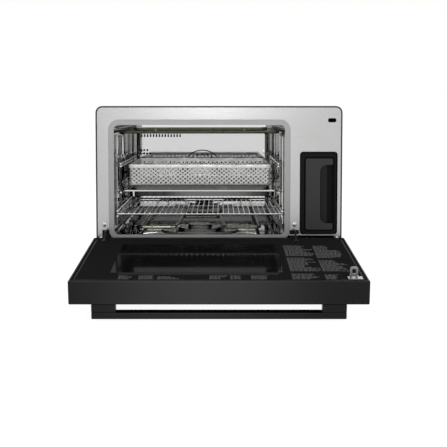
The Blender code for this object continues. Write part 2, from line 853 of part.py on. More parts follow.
def rear_panel(cabinet):
    back = CABINET_DEPTH - REAR_INSET
    panel = piece(
        "rear_panel",
        prism(
            arch(INSIDE_HALF - FIT, BASE_TOP + FIT, INSIDE_TOP - FIT, CASING_RADIUS - CASING_WALL),
            "Y",
            back - SHEET,
            back,
        ),
        cabinet,
        GALVANISED,
    )
    slots = []
    for row in range(VENT_COUNT):
        low = INSIDE_TOP - VENT_RISE - row * VENT_PITCH
        for across in (-CABINET_HALF / 2, CABINET_HALF / 2):
            slots.append(
                box(
                    (across - VENT_WIDTH / 2, back - SHEET - OVERRUN, low),
                    (across + VENT_WIDTH / 2, back + OVERRUN, low + VENT_HEIGHT),
                )
            )
    cut(panel, together(*slots))
    left, low, right, high = inlet_body()
    cut(
        panel,
        box(
            (left - FIT, back - SHEET - OVERRUN, low - FIT),
            (right + FIT, back + OVERRUN, high + FIT),
        ),
    )


def inlet_body():
    """The inlet's body across the rear panel: left, low, right and high."""
    across = INLET_INSET - CABINET_HALF
    low = BASE_TOP + INLET_RISE
    return across - INLET_WIDTH / 2, low, across + INLET_WIDTH / 2, low + INLET_HEIGHT


def power_inlet(cabinet):
    left, low, right, high = inlet_body()
    outside = CABINET_DEPTH - REAR_INSET + FIT
    flange = outside + INLET_FLANGE_THICKNESS
    inlet = piece(
        "power_inlet",
        box((left, outside - INLET_DEPTH, low), (right, flange, high)),
        cabinet,
        BLACK_PLASTIC,
    )
    join(
        inlet,
        box(
            (left - INLET_FLANGE, outside, low - INLET_FLANGE),
            (right + INLET_FLANGE, flange, high + INLET_FLANGE),
        ),
    )
    cut(
        inlet,
        box(
            (left + INLET_WALL, flange - INLET_POCKET, low + INLET_WALL),
            (right - INLET_WALL, flange + OVERRUN, high - INLET_WALL),
        ),
    )


# Cavity


def cavity_liner(cabinet):
    wall = LINER_WALL
    back = CAVITY_DEPTH + wall
    liner = piece(
        "cavity_liner",
        prism(
            rounded(
                CAVITY_LEFT - wall,
                CAVITY_FLOOR - wall,
                CAVITY_RIGHT + wall,
                CAVITY_CEILING + wall,
                CAVITY_RADIUS + wall,
            ),
            "Y",
            BEHIND_FRAME,
            back,
        ),
        cabinet,
        BRIGHT_STEEL,
    )
    inside = rounded(CAVITY_LEFT, CAVITY_FLOOR, CAVITY_RIGHT, CAVITY_CEILING, CAVITY_RADIUS)
    cut(liner, prism(inside, "Y", -OVERRUN, CAVITY_DEPTH))
    shaft = circle(CAVITY_CENTRE, FAN_Z, FAN_SHAFT_RADIUS + RUNNING_GAP, SMALL_SIDES)
    cut(liner, prism(shaft, "Y", CAVITY_DEPTH - OVERRUN, back + OVERRUN))
    port = circle(STEAM_PORT_DEPTH, CAVITY_FLOOR + STEAM_PORT_RISE, STEAM_PORT_RADIUS, SMALL_SIDES)
    cut(liner, prism(port, "X", CAVITY_RIGHT - OVERRUN, CAVITY_RIGHT + wall + OVERRUN))


def fan_cover(cabinet):
    """A shallow pressed cover in front of the fan, with its suction grille and side outlets."""
    left = CAVITY_LEFT + FAN_COVER_MARGIN_SIDE
    right = CAVITY_RIGHT - FAN_COVER_MARGIN_SIDE
    low = CAVITY_FLOOR + FAN_COVER_RISE
    high = CAVITY_CEILING - FAN_COVER_TOP_GAP
    front = CAVITY_DEPTH - FAN_SPACE
    sheet = FAN_COVER_SHEET

    def shell(inset, corner, rear):
        """The cover's outside, or its inside by the sheet's inset, with bevelled sides."""
        rings = []
        for side, depth in (
            (FAN_COVER_BEVEL + corner, front + inset),
            (inset, front + FAN_COVER_BEVEL + corner),
            (inset, rear),
        ):
            outline = rounded(
                left + side, low + inset, right - side, high - inset, FAN_COVER_RADIUS - inset
            )
            rings.append([place("Y", a, b, depth) for a, b in outline])
        return loft(rings)

    cover = piece("fan_cover", shell(0, 0, CAVITY_DEPTH - FIT), cabinet, BRIGHT_STEEL)
    cut(cover, shell(sheet, sheet * math.tan(math.pi / 8), CAVITY_DEPTH + OVERRUN))
    proud = front - FAN_BOSS_PROUD
    boss = (
        (FAN_BOSS_RADIUS, front + sheet / 2),
        (FAN_BOSS_RADIUS, front),
        (FAN_BOSS_RADIUS - FAN_BOSS_PROUD, proud),
    )
    join(cover, turned(boss, "Y", CAVITY_CENTRE, FAN_Z, 32))
    holes = []
    for ring, count in FAN_GRILLE_RINGS:
        for step in range(count):
            angle = 2 * math.pi * step / count
            across = CAVITY_CENTRE + ring * math.cos(angle)
            up = FAN_Z + ring * math.sin(angle)
            holes.append(
                prism(
                    circle(across, up, FAN_GRILLE_SLOT, WIRE_SIDES),
                    "Y",
                    proud - OVERRUN,
                    front + sheet + OVERRUN,
                )
            )
    for step in range(COVER_VENT_COUNT):
        across = left + COVER_VENT_INSET + step * COVER_VENT_PITCH
        hole = circle(across, high - COVER_VENT_DROP, COVER_VENT_RADIUS, WIRE_SIDES)
        holes.append(prism(hole, "Y", front - OVERRUN, front + sheet + OVERRUN))
    cut(cover, together(*holes))
    rear = CAVITY_DEPTH - FAN_OUTLET_INSET
    outlet = rounded(
        rear - FAN_OUTLET_WIDTH, low + FAN_OUTLET_MARGIN, rear, high - FAN_OUTLET_MARGIN, FAN_OUTLET_WIDTH / 3
    )
    cut(cover, prism(outlet, "X", left - OVERRUN, right + OVERRUN))


def fan(cabinet):
    """The fan wheel and its shaft, which turn together about the motor's axis."""
    axis = empty("fan_axis", cabinet, (CAVITY_CENTRE, CAVITY_DEPTH, FAN_Z))
    rear = -FAN_BACK_GAP
    front = rear - FAN_DEPTH
    wheel = piece(
        "fan_wheel",
        turned(
            (
                (FAN_HUB_RADIUS, front),
                (FAN_HUB_RADIUS, rear - FAN_DISC),
                (FAN_RADIUS, rear - FAN_DISC),
                (FAN_RADIUS, rear),
            ),
            "Y",
            0,
            0,
        ),
        axis,
        SATIN_STEEL,
    )
    blades = []
    for step in range(FAN_BLADES):
        angle = 2 * math.pi * step / FAN_BLADES
        blade = box(
            (FAN_BLADE_ROOT, front, -FAN_BLADE / 2),
            (FAN_RADIUS - FAN_BLADE, rear - FAN_DISC / 2, FAN_BLADE / 2),
        )
        cosine, sine = math.cos(angle), math.sin(angle)
        for vert in blade.verts:
            across, up = vert.co.x, vert.co.z
            vert.co.x = across * cosine - up * sine
            vert.co.z = across * sine + up * cosine
        blades.append(blade)
    join(wheel, together(*blades))
    bore = circle(0, 0, FAN_SHAFT_RADIUS + FIT, SMALL_SIDES)
    cut(wheel, prism(bore, "Y", front - OVERRUN, rear + OVERRUN))
    shaft_rear = LINER_WALL + FIT + MOTOR_PLATE + FAN_SHAFT_REAR
    piece(
        "fan_shaft",
        prism(circle(0, 0, FAN_SHAFT_RADIUS, SMALL_SIDES), "Y", front, shaft_rear),
        axis,
        DARK_STEEL,
    )


def fan_motor(cabinet):
    front = CAVITY_DEPTH + LINER_WALL + FIT
    motor = piece(
        "fan_motor",
        prism(circle(CAVITY_CENTRE, FAN_Z, MOTOR_RADIUS), "Y", front, front + MOTOR_DEPTH),
        cabinet,
        DARK_STEEL,
    )
    half = MOTOR_PLATE_HALF
    join(
        motor,
        box(
            (CAVITY_CENTRE - half, front, FAN_Z - half),
            (CAVITY_CENTRE + half, front + MOTOR_PLATE, FAN_Z + half),
        ),
    )
    bore = circle(CAVITY_CENTRE, FAN_Z, FAN_SHAFT_RADIUS + FIT, SMALL_SIDES)
    cut(motor, prism(bore, "Y", front - OVERRUN, front + MOTOR_PLATE + FAN_SHAFT_REAR + FIT))


def upper_heat(cabinet):
    """The grill element, two loops one above the other, and the reflector above them."""
    wall = CAVITY_DEPTH - FIT
    loops = []
    for half, front, drop in (
        (OUTER_LOOP_HALF, OUTER_LOOP_FRONT, OUTER_LOOP_DROP),
        (INNER_LOOP_HALF, INNER_LOOP_FRONT, INNER_LOOP_DROP),
    ):
        route = ((-half, wall), (-half, front), (half, front), (half, wall))
        height = CAVITY_CEILING - drop
        corners = [(CAVITY_CENTRE + across, back, height) for across, back in route]
        loops.append(tube(bent(corners, ELEMENT_BEND), ELEMENT_RADIUS, 8))
    element = piece("upper_element", loops[0], cabinet, ELEMENT_OLIVE)
    clips = [
        box(
            (across - LOOP_CLIP_WIDTH / 2, OUTER_LOOP_FRONT, CAVITY_CEILING - OUTER_LOOP_DROP),
            (across + LOOP_CLIP_WIDTH / 2, INNER_LOOP_FRONT, CAVITY_CEILING - INNER_LOOP_DROP),
        )
        for across in (CAVITY_CENTRE - LOOP_CLIP_OFFSET, CAVITY_CENTRE + LOOP_CLIP_OFFSET)
    ]
    join(element, together(*clips))
    join(element, loops[1])
    low = CAVITY_CEILING - REFLECTOR_DROP
    half = REFLECTOR_HALF
    reflector = piece(
        "upper_reflector",
        box(
            (CAVITY_CENTRE - half, REFLECTOR_FRONT, low),
            (CAVITY_CENTRE + half, REFLECTOR_REAR, CAVITY_CEILING - FIT),
        ),
        cabinet,
        BRIGHT_STEEL,
    )
    wall = REFLECTOR_SHEET
    cut(
        reflector,
        box(
            (CAVITY_CENTRE - half + wall, REFLECTOR_FRONT - OVERRUN, low + wall),
            (CAVITY_CENTRE + half - wall, REFLECTOR_REAR + OVERRUN, CAVITY_CEILING + OVERRUN),
        ),
    )


def lower_heat(cabinet):
    """The floor element with its clips, and the stepped cover of the evaporator below it."""
    height = CAVITY_FLOOR + LOWER_ELEMENT_RISE
    wall = CAVITY_DEPTH - FIT
    outer, inner = LOWER_ELEMENT_HALF, LOWER_ELEMENT_INNER
    route = (
        (-outer, wall),
        (-outer, LOWER_ELEMENT_FRONT),
        (-inner, LOWER_ELEMENT_FRONT),
        (-LOWER_ELEMENT_LOOP, LOWER_ELEMENT_REAR),
        (LOWER_ELEMENT_LOOP, LOWER_ELEMENT_REAR),
        (inner, LOWER_ELEMENT_FRONT),
        (outer, LOWER_ELEMENT_FRONT),
        (outer, wall),
    )
    corners = [(CAVITY_CENTRE + across, back, height) for across, back in route]
    element = piece(
        "lower_element",
        tube(bent(corners, ELEMENT_BEND), LOWER_ELEMENT_RADIUS, 8),
        cabinet,
        ELEMENT_OLIVE,
    )
    for offset in (-CLIP_OFFSET, CLIP_OFFSET):
        across = CAVITY_CENTRE + offset
        join(
            element,
            box(
                (across - CLIP_WIDTH / 2, LOWER_ELEMENT_FRONT - CLIP_HALF, CAVITY_FLOOR + FIT),
                (
                    across + CLIP_WIDTH / 2,
                    LOWER_ELEMENT_FRONT + CLIP_HALF,
                    CAVITY_FLOOR + CLIP_HEIGHT,
                ),
            ),
        )
    floor = CAVITY_FLOOR + FIT
    middle = inner - LOWER_ELEMENT_RADIUS - EVAPORATOR_LEG_GAP
    rings = []
    below = floor
    for half, depth, height in (
        (EVAPORATOR_BASE_HALF, EVAPORATOR_BASE_DEPTH, EVAPORATOR_BASE_HEIGHT),
        (middle, middle, EVAPORATOR_HEIGHT),
        (EVAPORATOR_CROWN_RADIUS, EVAPORATOR_CROWN_RADIUS, EVAPORATOR_CROWN_HEIGHT),
    ):
        top = floor + height
        for inset, level in (
            (0, below),
            (0, top - EVAPORATOR_CHAMFER),
            (EVAPORATOR_CHAMFER, top),
        ):
            wide, deep = half - inset, depth - inset
            rings.append(
                [
                    (CAVITY_CENTRE + wide * a, EVAPORATOR_CENTRE + deep * b, level)
                    for a, b in circle(0, 0, 1, 32)
                ]
            )
        below = top
    piece("evaporator_cover", loft(rings), cabinet, BRIGHT_STEEL)


# Side racks, shelves and pan


def side_rack(cabinet, name, wall, inward):
    """Wire rails on uprights at one wall. Inward is 1 at the left wall and -1 at the right."""
    upright = wall + inward * (FIT + UPRIGHT_RADIUS)
    near = wall + inward * NEAR_RAIL_OFFSET
    far = wall + inward * FAR_RAIL_OFFSET
    low = LOWER_SHELF_Z - SHELF_BAR_RADIUS - FIT - RAIL_RADIUS
    low_guide = LOWER_SHELF_Z + SHELF_BAR_RADIUS + RAIL_HEADROOM
    middle = BAKING_TRAY_Z - BAKING_TRAY_LIP - FIT - RAIL_RADIUS
    guide = CAVITY_FLOOR + GUIDE_RISE
    depths = (UPRIGHT_FRONT, UPRIGHT_MIDDLE, UPRIGHT_REAR)
    posts = [
        tube(
            ((upright, depth, CAVITY_FLOOR + UPRIGHT_BOTTOM), (upright, depth, CAVITY_FLOOR + UPRIGHT_TOP)),
            UPRIGHT_RADIUS,
            WIRE_SIDES,
        )
        for depth in depths
    ]
    rack = piece(name, together(*posts), cabinet, BRIGHT_STEEL)
    rails = []
    for across, height in (
        (near, low),
        (near, low_guide),
        (far, middle),
        (far, guide),
        (far, guide + GUIDE_SPACING),
    ):
        ends = ((across, RAIL_FRONT, height), (across, RAIL_REAR, height))
        rails.append(tube(ends, RAIL_RADIUS, WIRE_SIDES + 2))
    join(rack, together(*rails))
    pegs = []
    for depth in depths:
        for height in (middle, guide, guide + GUIDE_SPACING):
            pegs.append(tube(((upright, depth, height), (far, depth, height)), UPRIGHT_RADIUS, WIRE_SIDES))
    join(rack, together(*pegs))


def shelf(parent, name, height, offset):
    """A wire shelf: a round-bar frame with thin wires lying along it."""
    left = CAVITY_LEFT + offset + SHELF_BAR_RADIUS
    right = CAVITY_RIGHT - offset - SHELF_BAR_RADIUS
    bar = SHELF_BAR_RADIUS
    ends = [
        tube(((left - bar, depth, height), (right + bar, depth, height)), bar, WIRE_SIDES + 2)
        for depth in (SHELF_FRONT, (SHELF_FRONT + SHELF_REAR) / 2, SHELF_REAR)
    ]
    made = piece(name, together(*ends), parent, BRIGHT_STEEL)
    front, rear = SHELF_FRONT - bar / 3, SHELF_REAR + bar / 3
    sides = [
        tube(((across, front, height), (across, rear, height)), bar, WIRE_SIDES + 2)
        for across in (left, right)
    ]
    join(made, together(*sides))
    count = int((right - left) / SHELF_WIRE_PITCH)
    pitch = (right - left) / count
    wire_height = height + bar + SHELF_WIRE_RADIUS - SHELF_WIRE_SINK
    wires = []
    for step in range(1, count):
        across = left + step * pitch
        route = ((across, front, wire_height), (across, rear, wire_height))
        wires.append(tube(route, SHELF_WIRE_RADIUS, WIRE_SIDES))
    join(made, together(*wires))


def rimmed(name, outline, levels, parent):
    """A vessel with a turned-out rim. Each level is an inset from the rim and a height."""
    rings = []
    for inset, radius, height in levels:
        left, front, right, rear = outline
        corners = rounded(left + inset, front + inset, right - inset, rear - inset, radius)
        rings.append([place("Z", a, b, height) for a, b in corners])
    return piece(name, loft(rings), parent, BRIGHT_STEEL)


def baking_tray(parent):
    """A shallow tray with a wide flange that lies on the rails."""
    left = CAVITY_LEFT + BAKING_TRAY_OFFSET
    right = CAVITY_RIGHT - BAKING_TRAY_OFFSET
    radius, wall = BAKING_TRAY_RADIUS, BAKING_TRAY_WALL
    top = BAKING_TRAY_Z
    lip = top - BAKING_TRAY_LIP
    flange = rimmed(
        "baking_tray",
        (left, BAKING_TRAY_FRONT, right, BAKING_TRAY_REAR),
        (
            (wall, radius - wall, top - wall),
            (wall, radius - wall, lip),
            (0, radius, lip),
            (0, radius, top),
        ),
        parent,
    )
    outer = (
        left + BAKING_TRAY_FLANGE,
        BAKING_TRAY_FRONT + BAKING_TRAY_END_FLANGE,
        right - BAKING_TRAY_FLANGE,
        BAKING_TRAY_REAR - BAKING_TRAY_END_FLANGE,
    )
    taper, bottom = BAKING_TRAY_TAPER, top - BAKING_TRAY_DEPTH
    for action, inset, low, high in (
        (join, 0, bottom, top - wall / 2),
        (cut, wall, bottom + wall, top + OVERRUN),
    ):
        rings = []
        for extra, height in ((taper, low), (0, high)):
            shrink = inset + extra
            corners = rounded(
                outer[0] + shrink, outer[1] + shrink, outer[2] - shrink, outer[3] - shrink, radius - shrink
            )
            rings.append([place("Z", a, b, height) for a, b in corners])
        action(flange, loft(rings))


def steam_pan(parent):
    """A deep pan with a folded rim, standing in the baking tray."""
    left = CAVITY_LEFT + PAN_MARGIN
    right = CAVITY_RIGHT - PAN_MARGIN
    bottom = BAKING_TRAY_Z - BAKING_TRAY_DEPTH + BAKING_TRAY_WALL + FIT
    top = bottom + PAN_HEIGHT
    wall, radius = PAN_WALL, PAN_RADIUS
    foot = PAN_RIM + PAN_TAPER
    lip = top - PAN_LIP
    outside, inside = [], []
    for step in range(PAN_FOOT_STEPS + 1):
        angle = math.pi / 2 * step / PAN_FOOT_STEPS
        inward, down = 1 - math.cos(angle), 1 - math.sin(angle)
        turn, inner_turn = PAN_FOOT_RADIUS, PAN_FOOT_RADIUS - wall
        outside.append((foot + turn * inward, radius, bottom + turn * down))
        inside.append(
            (foot + wall + inner_turn * inward, radius - wall, bottom + wall + inner_turn * down)
        )
    rim = [
        (PAN_RIM, radius, top - wall),
        (wall, radius, top - wall),
        (wall, radius, lip),
        (0, radius + wall, lip),
        (0, radius + wall, top),
        (PAN_RIM + wall, radius - wall, top),
    ]
    levels = outside[::-1] + rim + inside
    rimmed("steam_pan", (left, PAN_FRONT, right, PAN_REAR), levels, parent)


# Water tank and drip tray


def open_vessel(left, front, low, right, back, high, wall, radius):
    """A box with round upright corners that is open at the top."""
    outer = rounded(left, front, right, back, radius)
    inner = rounded(left + wall, front + wall, right - wall, back - wall, radius - wall)
    rings = ((outer, low), (outer, high), (inner, high), (inner, low + wall))
    return loft([[place("Z", a, b, height) for a, b in outline] for outline, height in rings])


def tank_housing(cabinet):
    wall = RECESS_WALL
    housing = piece(
        "tank_housing",
        prism(
            rounded(
                RECESS_LEFT - wall,
                RECESS_FLOOR - wall,
                RECESS_RIGHT + wall,
                RECESS_TOP + wall,
                RECESS_RADIUS + wall,
            ),
            "Y",
            BEHIND_FRAME,
            RECESS_DEPTH + wall,
        ),
        cabinet,
        BLACK_PLASTIC,
    )
    inside = rounded(RECESS_LEFT, RECESS_FLOOR, RECESS_RIGHT, RECESS_TOP, RECESS_RADIUS)
    cut(housing, prism(inside, "Y", -OVERRUN, RECESS_DEPTH))


def water_tank(parent):
    """The tank, its lid and its front with the finger grip, drawn out together."""
    left = RECESS_LEFT + TANK_GAP
    right = RECESS_RIGHT - TANK_GAP
    low = RECESS_FLOOR + FIT
    plate_front = FRONT_INSET + FRONT_RAISE
    plate_back = plate_front + FRONT_PLATE
    front = piece(
        "tank_front",
        prism(
            rounded(left, low, right, RECESS_TOP - TANK_GAP, RECESS_RADIUS - TANK_GAP),
            "Y",
            plate_front,
            plate_back,
        ),
        parent,
        DARK_PLASTIC,
    )
    panel_left = RECESS_LEFT + PANEL_MARGIN_LEFT
    panel_right = RECESS_RIGHT - PANEL_MARGIN_RIGHT
    panel_low = RECESS_FLOOR + PANEL_MARGIN_BOTTOM
    panel_high = RECESS_TOP - PANEL_MARGIN_TOP
    groove = rounded(
        panel_left - PANEL_GROOVE,
        panel_low - PANEL_GROOVE,
        panel_right + PANEL_GROOVE,
        panel_high + PANEL_GROOVE,
        PANEL_RADIUS + PANEL_GROOVE,
    )
    cut(front, prism(groove, "Y", FRONT_INSET - OVERRUN, plate_front + PANEL_GROOVE_DEPTH))
    panel = rounded(panel_left, panel_low, panel_right, panel_high, PANEL_RADIUS)
    join(front, prism(panel, "Y", FRONT_INSET, plate_back - FIT))
    middle = (panel_low + panel_high) / 2
    grip_right = panel_right + PANEL_GROOVE / 2
    for grip_left, rise, radius, deep in (
        (panel_right - GRIP_WIDTH, GRIP_HEIGHT / 2, GRIP_RADIUS, GRIP_DEPTH),
        (panel_right - GRIP_HOLD_WIDTH, GRIP_HEIGHT / 2 - EDGE, EDGE, GRIP_HOLD_DEPTH),
    ):
        grip = tongue(grip_left, middle - rise, grip_right, middle + rise, radius)
        cut(front, prism(grip, "Y", FRONT_INSET - OVERRUN, FRONT_INSET + deep))
    body_left = RECESS_LEFT + RECESS_RADIUS
    body_right = RECESS_RIGHT - RECESS_RADIUS
    body_front = plate_back + FIT
    body_back = body_front + TANK_DEPTH
    top = low + TANK_HEIGHT
    tank = open_vessel(
        body_left, body_front, low, body_right, body_back, top, TANK_WALL, TANK_RADIUS
    )
    piece("water_tank", tank, parent, CLEAR_PLASTIC)
    outline = rounded(body_left, body_front, body_right, body_back, TANK_RADIUS)
    inset = TANK_WALL + FIT
    plug = rounded(
        body_left + inset, body_front + inset, body_right - inset, body_back - inset, TANK_RADIUS - TANK_WALL
    )
    lid = piece(
        "tank_lid",
        prism(outline, "Z", top + FIT, top + FIT + LID_THICKNESS),
        parent,
        DARK_PLASTIC,
    )
    join(lid, prism(plug, "Z", top - LID_PLUG, top + FIT + LID_THICKNESS / 2))


def drip_tray(parent):
    half = TRAY_WIDTH / 2
    low = BASE_TOP + FIT
    high = low + TRAY_HEIGHT
    tray = piece(
        "drip_tray",
        open_vessel(
            CAVITY_CENTRE - half,
            -RUNNING_GAP,
            low,
            CAVITY_CENTRE + half,
            TRAY_DEPTH,
            high,
            TRAY_WALL,
            TRAY_RADIUS,
        ),
        parent,
        BLACK_PLASTIC,
    )
    margin = TRAY_FRONT_MARGIN
    face = rounded(
        CAVITY_CENTRE - half - margin,
        low - margin / 2,
        CAVITY_CENTRE + half + margin,
        high + margin,
        margin / 2,
    )
    join(tray, prism(face, "Y", -RUNNING_GAP - TRAY_FRONT_THICKNESS, -RUNNING_GAP / 2))


# Water, steam and power


def steam_works(cabinet):
    """The boiler behind the tank, the pump below it and the pipes between them."""
    boiler_y = (RECESS_DEPTH + CABINET_DEPTH - REAR_INSET) / 2
    low = BASE_TOP + FIT
    high = low + BOILER_HEIGHT
    profile = (
        (BOILER_RADIUS, low),
        (BOILER_RADIUS, high - BOILER_DOME),
        (BOILER_RADIUS - BOILER_DOME, high),
    )
    piece(
        "steam_generator",
        turned(profile, "Z", RECESS_CENTRE, boiler_y),
        cabinet,
        SATIN_STEEL,
    )
    pump_left = RECESS_CENTRE - PUMP_WIDTH / 2
    pump_back = PUMP_FRONT + PUMP_DEPTH
    pump = piece(
        "water_pump",
        box(
            (pump_left, PUMP_FRONT + EDGE, low),
            (pump_left + PUMP_WIDTH, pump_back - EDGE, low + PUMP_HEIGHT / 2),
        ),
        cabinet,
        DARK_STEEL,
    )
    barrel = circle(RECESS_CENTRE, low + PUMP_HEIGHT / 2, PUMP_HEIGHT / 2 - FIT)
    join(pump, prism(barrel, "Y", PUMP_FRONT, pump_back))
    feed_y = PUMP_FRONT + PUMP_DEPTH / 2
    feed = (
        (RECESS_CENTRE, feed_y, low + PUMP_HEIGHT),
        (RECESS_CENTRE, feed_y, RECESS_FLOOR - RECESS_WALL - FIT),
    )
    piece("feed_hose", tube(feed, HOSE_RADIUS), cabinet, HOSE_WHITE)
    hose_z = low + PUMP_HEIGHT / 2
    hose = (
        (RECESS_CENTRE, pump_back + FIT, hose_z),
        (RECESS_CENTRE, boiler_y - BOILER_RADIUS - FIT, hose_z),
    )
    piece("water_hose", tube(hose, HOSE_RADIUS), cabinet, HOSE_WHITE)
    port_z = CAVITY_FLOOR + STEAM_PORT_RISE
    route = (
        (RECESS_CENTRE, boiler_y, high + FIT),
        (RECESS_CENTRE, boiler_y, port_z),
        (RECESS_CENTRE, STEAM_PORT_DEPTH, port_z),
        (CAVITY_RIGHT + LINER_WALL + FIT, STEAM_PORT_DEPTH, port_z),
    )
    pipe = tube(bent(route, STEAM_PIPE_BEND), STEAM_PIPE_RADIUS)
    piece("steam_pipe", pipe, cabinet, HOSE_WHITE)


def power_board(cabinet):
    """The board on posts above the tank, with its relays and transformer."""
    ground = RECESS_TOP + RECESS_WALL + FIT
    low = ground + POWER_BOARD_LIFT
    high = low + BOARD_THICKNESS
    left = RECESS_CENTRE - POWER_BOARD_WIDTH / 2
    right = RECESS_CENTRE + POWER_BOARD_WIDTH / 2
    back = POWER_BOARD_FRONT + POWER_BOARD_DEPTH
    board = piece(
        "power_board",
        box((left, POWER_BOARD_FRONT, low), (right, back, high)),
        cabinet,
        BOARD_GREEN,
    )
    posts = []
    inset = RECESS_RADIUS + POST_HALF
    for across in (left + inset, right - inset):
        for depth in (POWER_BOARD_FRONT + inset, back - inset):
            posts.append(
                box(
                    (across - POST_HALF, depth - POST_HALF, ground),
                    (across + POST_HALF, depth + POST_HALF, low + BOARD_THICKNESS / 2),
                )
            )
    join(board, together(*posts))
    relays = []
    for step in range(RELAY_COUNT):
        front = POWER_BOARD_FRONT + inset + step * RELAY_PITCH
        relays.append(
            box(
                (left + inset, front, high - BOARD_THICKNESS / 2),
                (left + inset + RELAY_WIDTH, front + RELAY_DEPTH, high + RELAY_HEIGHT),
            )
        )
    half = TRANSFORMER_HALF
    across = right - inset - half
    depth = back - inset - half
    relays.append(
        box(
            (across - half, depth - half, high - BOARD_THICKNESS / 2),
            (across + half, depth + half, high + TRANSFORMER_HEIGHT),
        )
    )
    join(board, together(*relays))


# Door, in a frame whose origin is on the hinge axis and whose door stands closed


def door_frame(door):
    """The frame all round the door, which the glass panels close."""
    frame = piece(
        "door_frame",
        box((-DOOR_HALF, DOOR_OUTER, -DOOR_LIP), (DOOR_HALF, DOOR_INNER, DOOR_HIGH)),
        door,
        DARK_PLASTIC,
    )
    rounded_edges(frame, DOOR_EDGE, 3)
    border = DOOR_BORDER
    cut(
        frame,
        box(
            (border - DOOR_HALF, DOOR_OUTER - OVERRUN, border - DOOR_LIP),
            (DOOR_HALF - border, DOOR_INNER + OVERRUN, DOOR_HIGH - border),
        ),
    )


def door_span(gap):
    """What the frame leaves open, less a gap: left, low, right and high."""
    inset = DOOR_BORDER + gap
    return inset - DOOR_HALF, inset - DOOR_LIP, DOOR_HALF - inset, DOOR_HIGH - inset


def window_span(margin):
    """The window grown by a margin: left, low, right and high."""
    left = CAVITY_CENTRE - WINDOW_WIDTH / 2 - margin
    low = WINDOW_RISE - DOOR_LIP - margin
    return left, low, left + WINDOW_WIDTH + 2 * margin, low + WINDOW_HEIGHT + 2 * margin


def door_panels(door):
    left, low, right, high = door_span(FIT)
    piece(
        "inner_glass",
        box(
            (left, DOOR_INNER - GLASS_SINK - GLASS_THICKNESS, low),
            (right, DOOR_INNER - GLASS_SINK, high),
        ),
        door,
        BLACK_GLASS,
    )
    outside = DOOR_OUTER + GLASS_SINK
    outer = piece(
        "outer_glass",
        box((left, outside, low), (right, outside + GLASS_THICKNESS, high)),
        door,
        BLACK_GLASS,
    )
    front, back = DOOR_OUTER - OVERRUN, outside + GLASS_THICKNESS + OVERRUN
    for across, up in button_places():
        hole = circle(across, up, BUTTON_RADIUS + FIT)
        cut(outer, prism(hole, "Y", front, back))
    shaft = circle(CONTROLS_X, KNOB_RISE, KNOB_SHAFT_RADIUS + FIT, SMALL_SIDES)
    cut(outer, prism(shaft, "Y", front, back))
    half, rise = DISPLAY_WIDTH / 2 + FIT, DISPLAY_HEIGHT / 2 + FIT
    cut(
        outer,
        box(
            (CONTROLS_X - half, front, DISPLAY_RISE - rise),
            (CONTROLS_X + half, back, DISPLAY_RISE + rise),
        ),
    )
    back = DOOR_INNER - BAFFLE_DEPTH
    baffle = piece(
        "door_baffle",
        box((left, back - BAFFLE_SHEET, low), (right, back, high)),
        door,
        GALVANISED,
    )
    flange = DOOR_INNER - GLASS_SINK - GLASS_THICKNESS - FIT
    sheet = BAFFLE_EDGE
    rim = box((left, back - BAFFLE_SHEET, low), (right, flange, high))
    join(baffle, rim)
    cut(
        baffle,
        box(
            (left + sheet, back, low + sheet),
            (right - sheet, flange + OVERRUN, high - sheet),
        ),
    )
    window = rounded(*window_span(0), WINDOW_RADIUS)
    cut(baffle, prism(window, "Y", back - BAFFLE_SHEET - OVERRUN, back + OVERRUN))
    pane_left, pane_low, pane_right, pane_high = window_span(PANE_OVERLAP)
    pane_back = back - BAFFLE_SHEET - FIT
    piece(
        "middle_pane",
        box((pane_left, pane_back - PANE_THICKNESS, pane_low), (pane_right, pane_back, pane_high)),
        door,
        CLEAR_PANE,
    )


def handle(door):
    half = HANDLE_LENGTH / 2
    low, high = DOOR_HIGH - HANDLE_BAR_HEIGHT, DOOR_HIGH
    back = DOOR_OUTER - HANDLE_GAP
    bar = piece(
        "handle_bar",
        box((-half, back - HANDLE_BAR_DEPTH, low), (half, back, high)),
        door,
        DARK_PAINT,
    )
    rounded_edges(bar, HANDLE_EDGE)
    for name, left in (("handle_post_left", -half), ("handle_post_right", half - HANDLE_POST_WIDTH)):
        post = piece(
            name,
            box(
                (left, back + FIT, low + EDGE),
                (left + HANDLE_POST_WIDTH, DOOR_OUTER - FIT, high - EDGE),
            ),
            door,
            DARK_PAINT,
        )
        rounded_edges(post, HANDLE_EDGE / 2)


def latch_striker(door):
    """The loop that enters the latch slot, on its flange."""
    base = DOOR_INNER + FIT
    top = base + STRIKER_FLANGE_THICKNESS
    half = STRIKER_WIDTH / 2
    low = STRIKER_Z - STRIKER_THICKNESS / 2
    foot_low = low - EDGE
    foot_high = foot_low + STRIKER_FOOT_HEIGHT
    striker = piece(
        "latch_striker",
        box((STRIKER_X - half, base, foot_low), (STRIKER_X + half, top, foot_high)),
        door,
        SATIN_STEEL,
    )
    ears = STRIKER_FLANGE_WIDTH / 2
    join(
        striker,
        box(
            (STRIKER_X - ears, base, foot_high - STRIKER_FLANGE_HEIGHT),
            (STRIKER_X + ears, top, foot_high),
        ),
    )
    tip = DOOR_INNER + STRIKER_LENGTH
    outline = rounded(STRIKER_X - half, base + EDGE, STRIKER_X + half, tip, STRIKER_HOLE_INSET)
    join(striker, prism(outline, "Z", low, low + STRIKER_THICKNESS))
    hole = STRIKER_HOLE_WIDTH / 2
    hole_top = tip - STRIKER_HOLE_INSET
    outline = rounded(
        STRIKER_X - hole,
        hole_top - STRIKER_HOLE_HEIGHT,
        STRIKER_X + hole,
        hole_top,
        STRIKER_HOLE_INSET / 2,
    )
    cut(striker, prism(outline, "Z", low - OVERRUN, low + STRIKER_THICKNESS + OVERRUN))


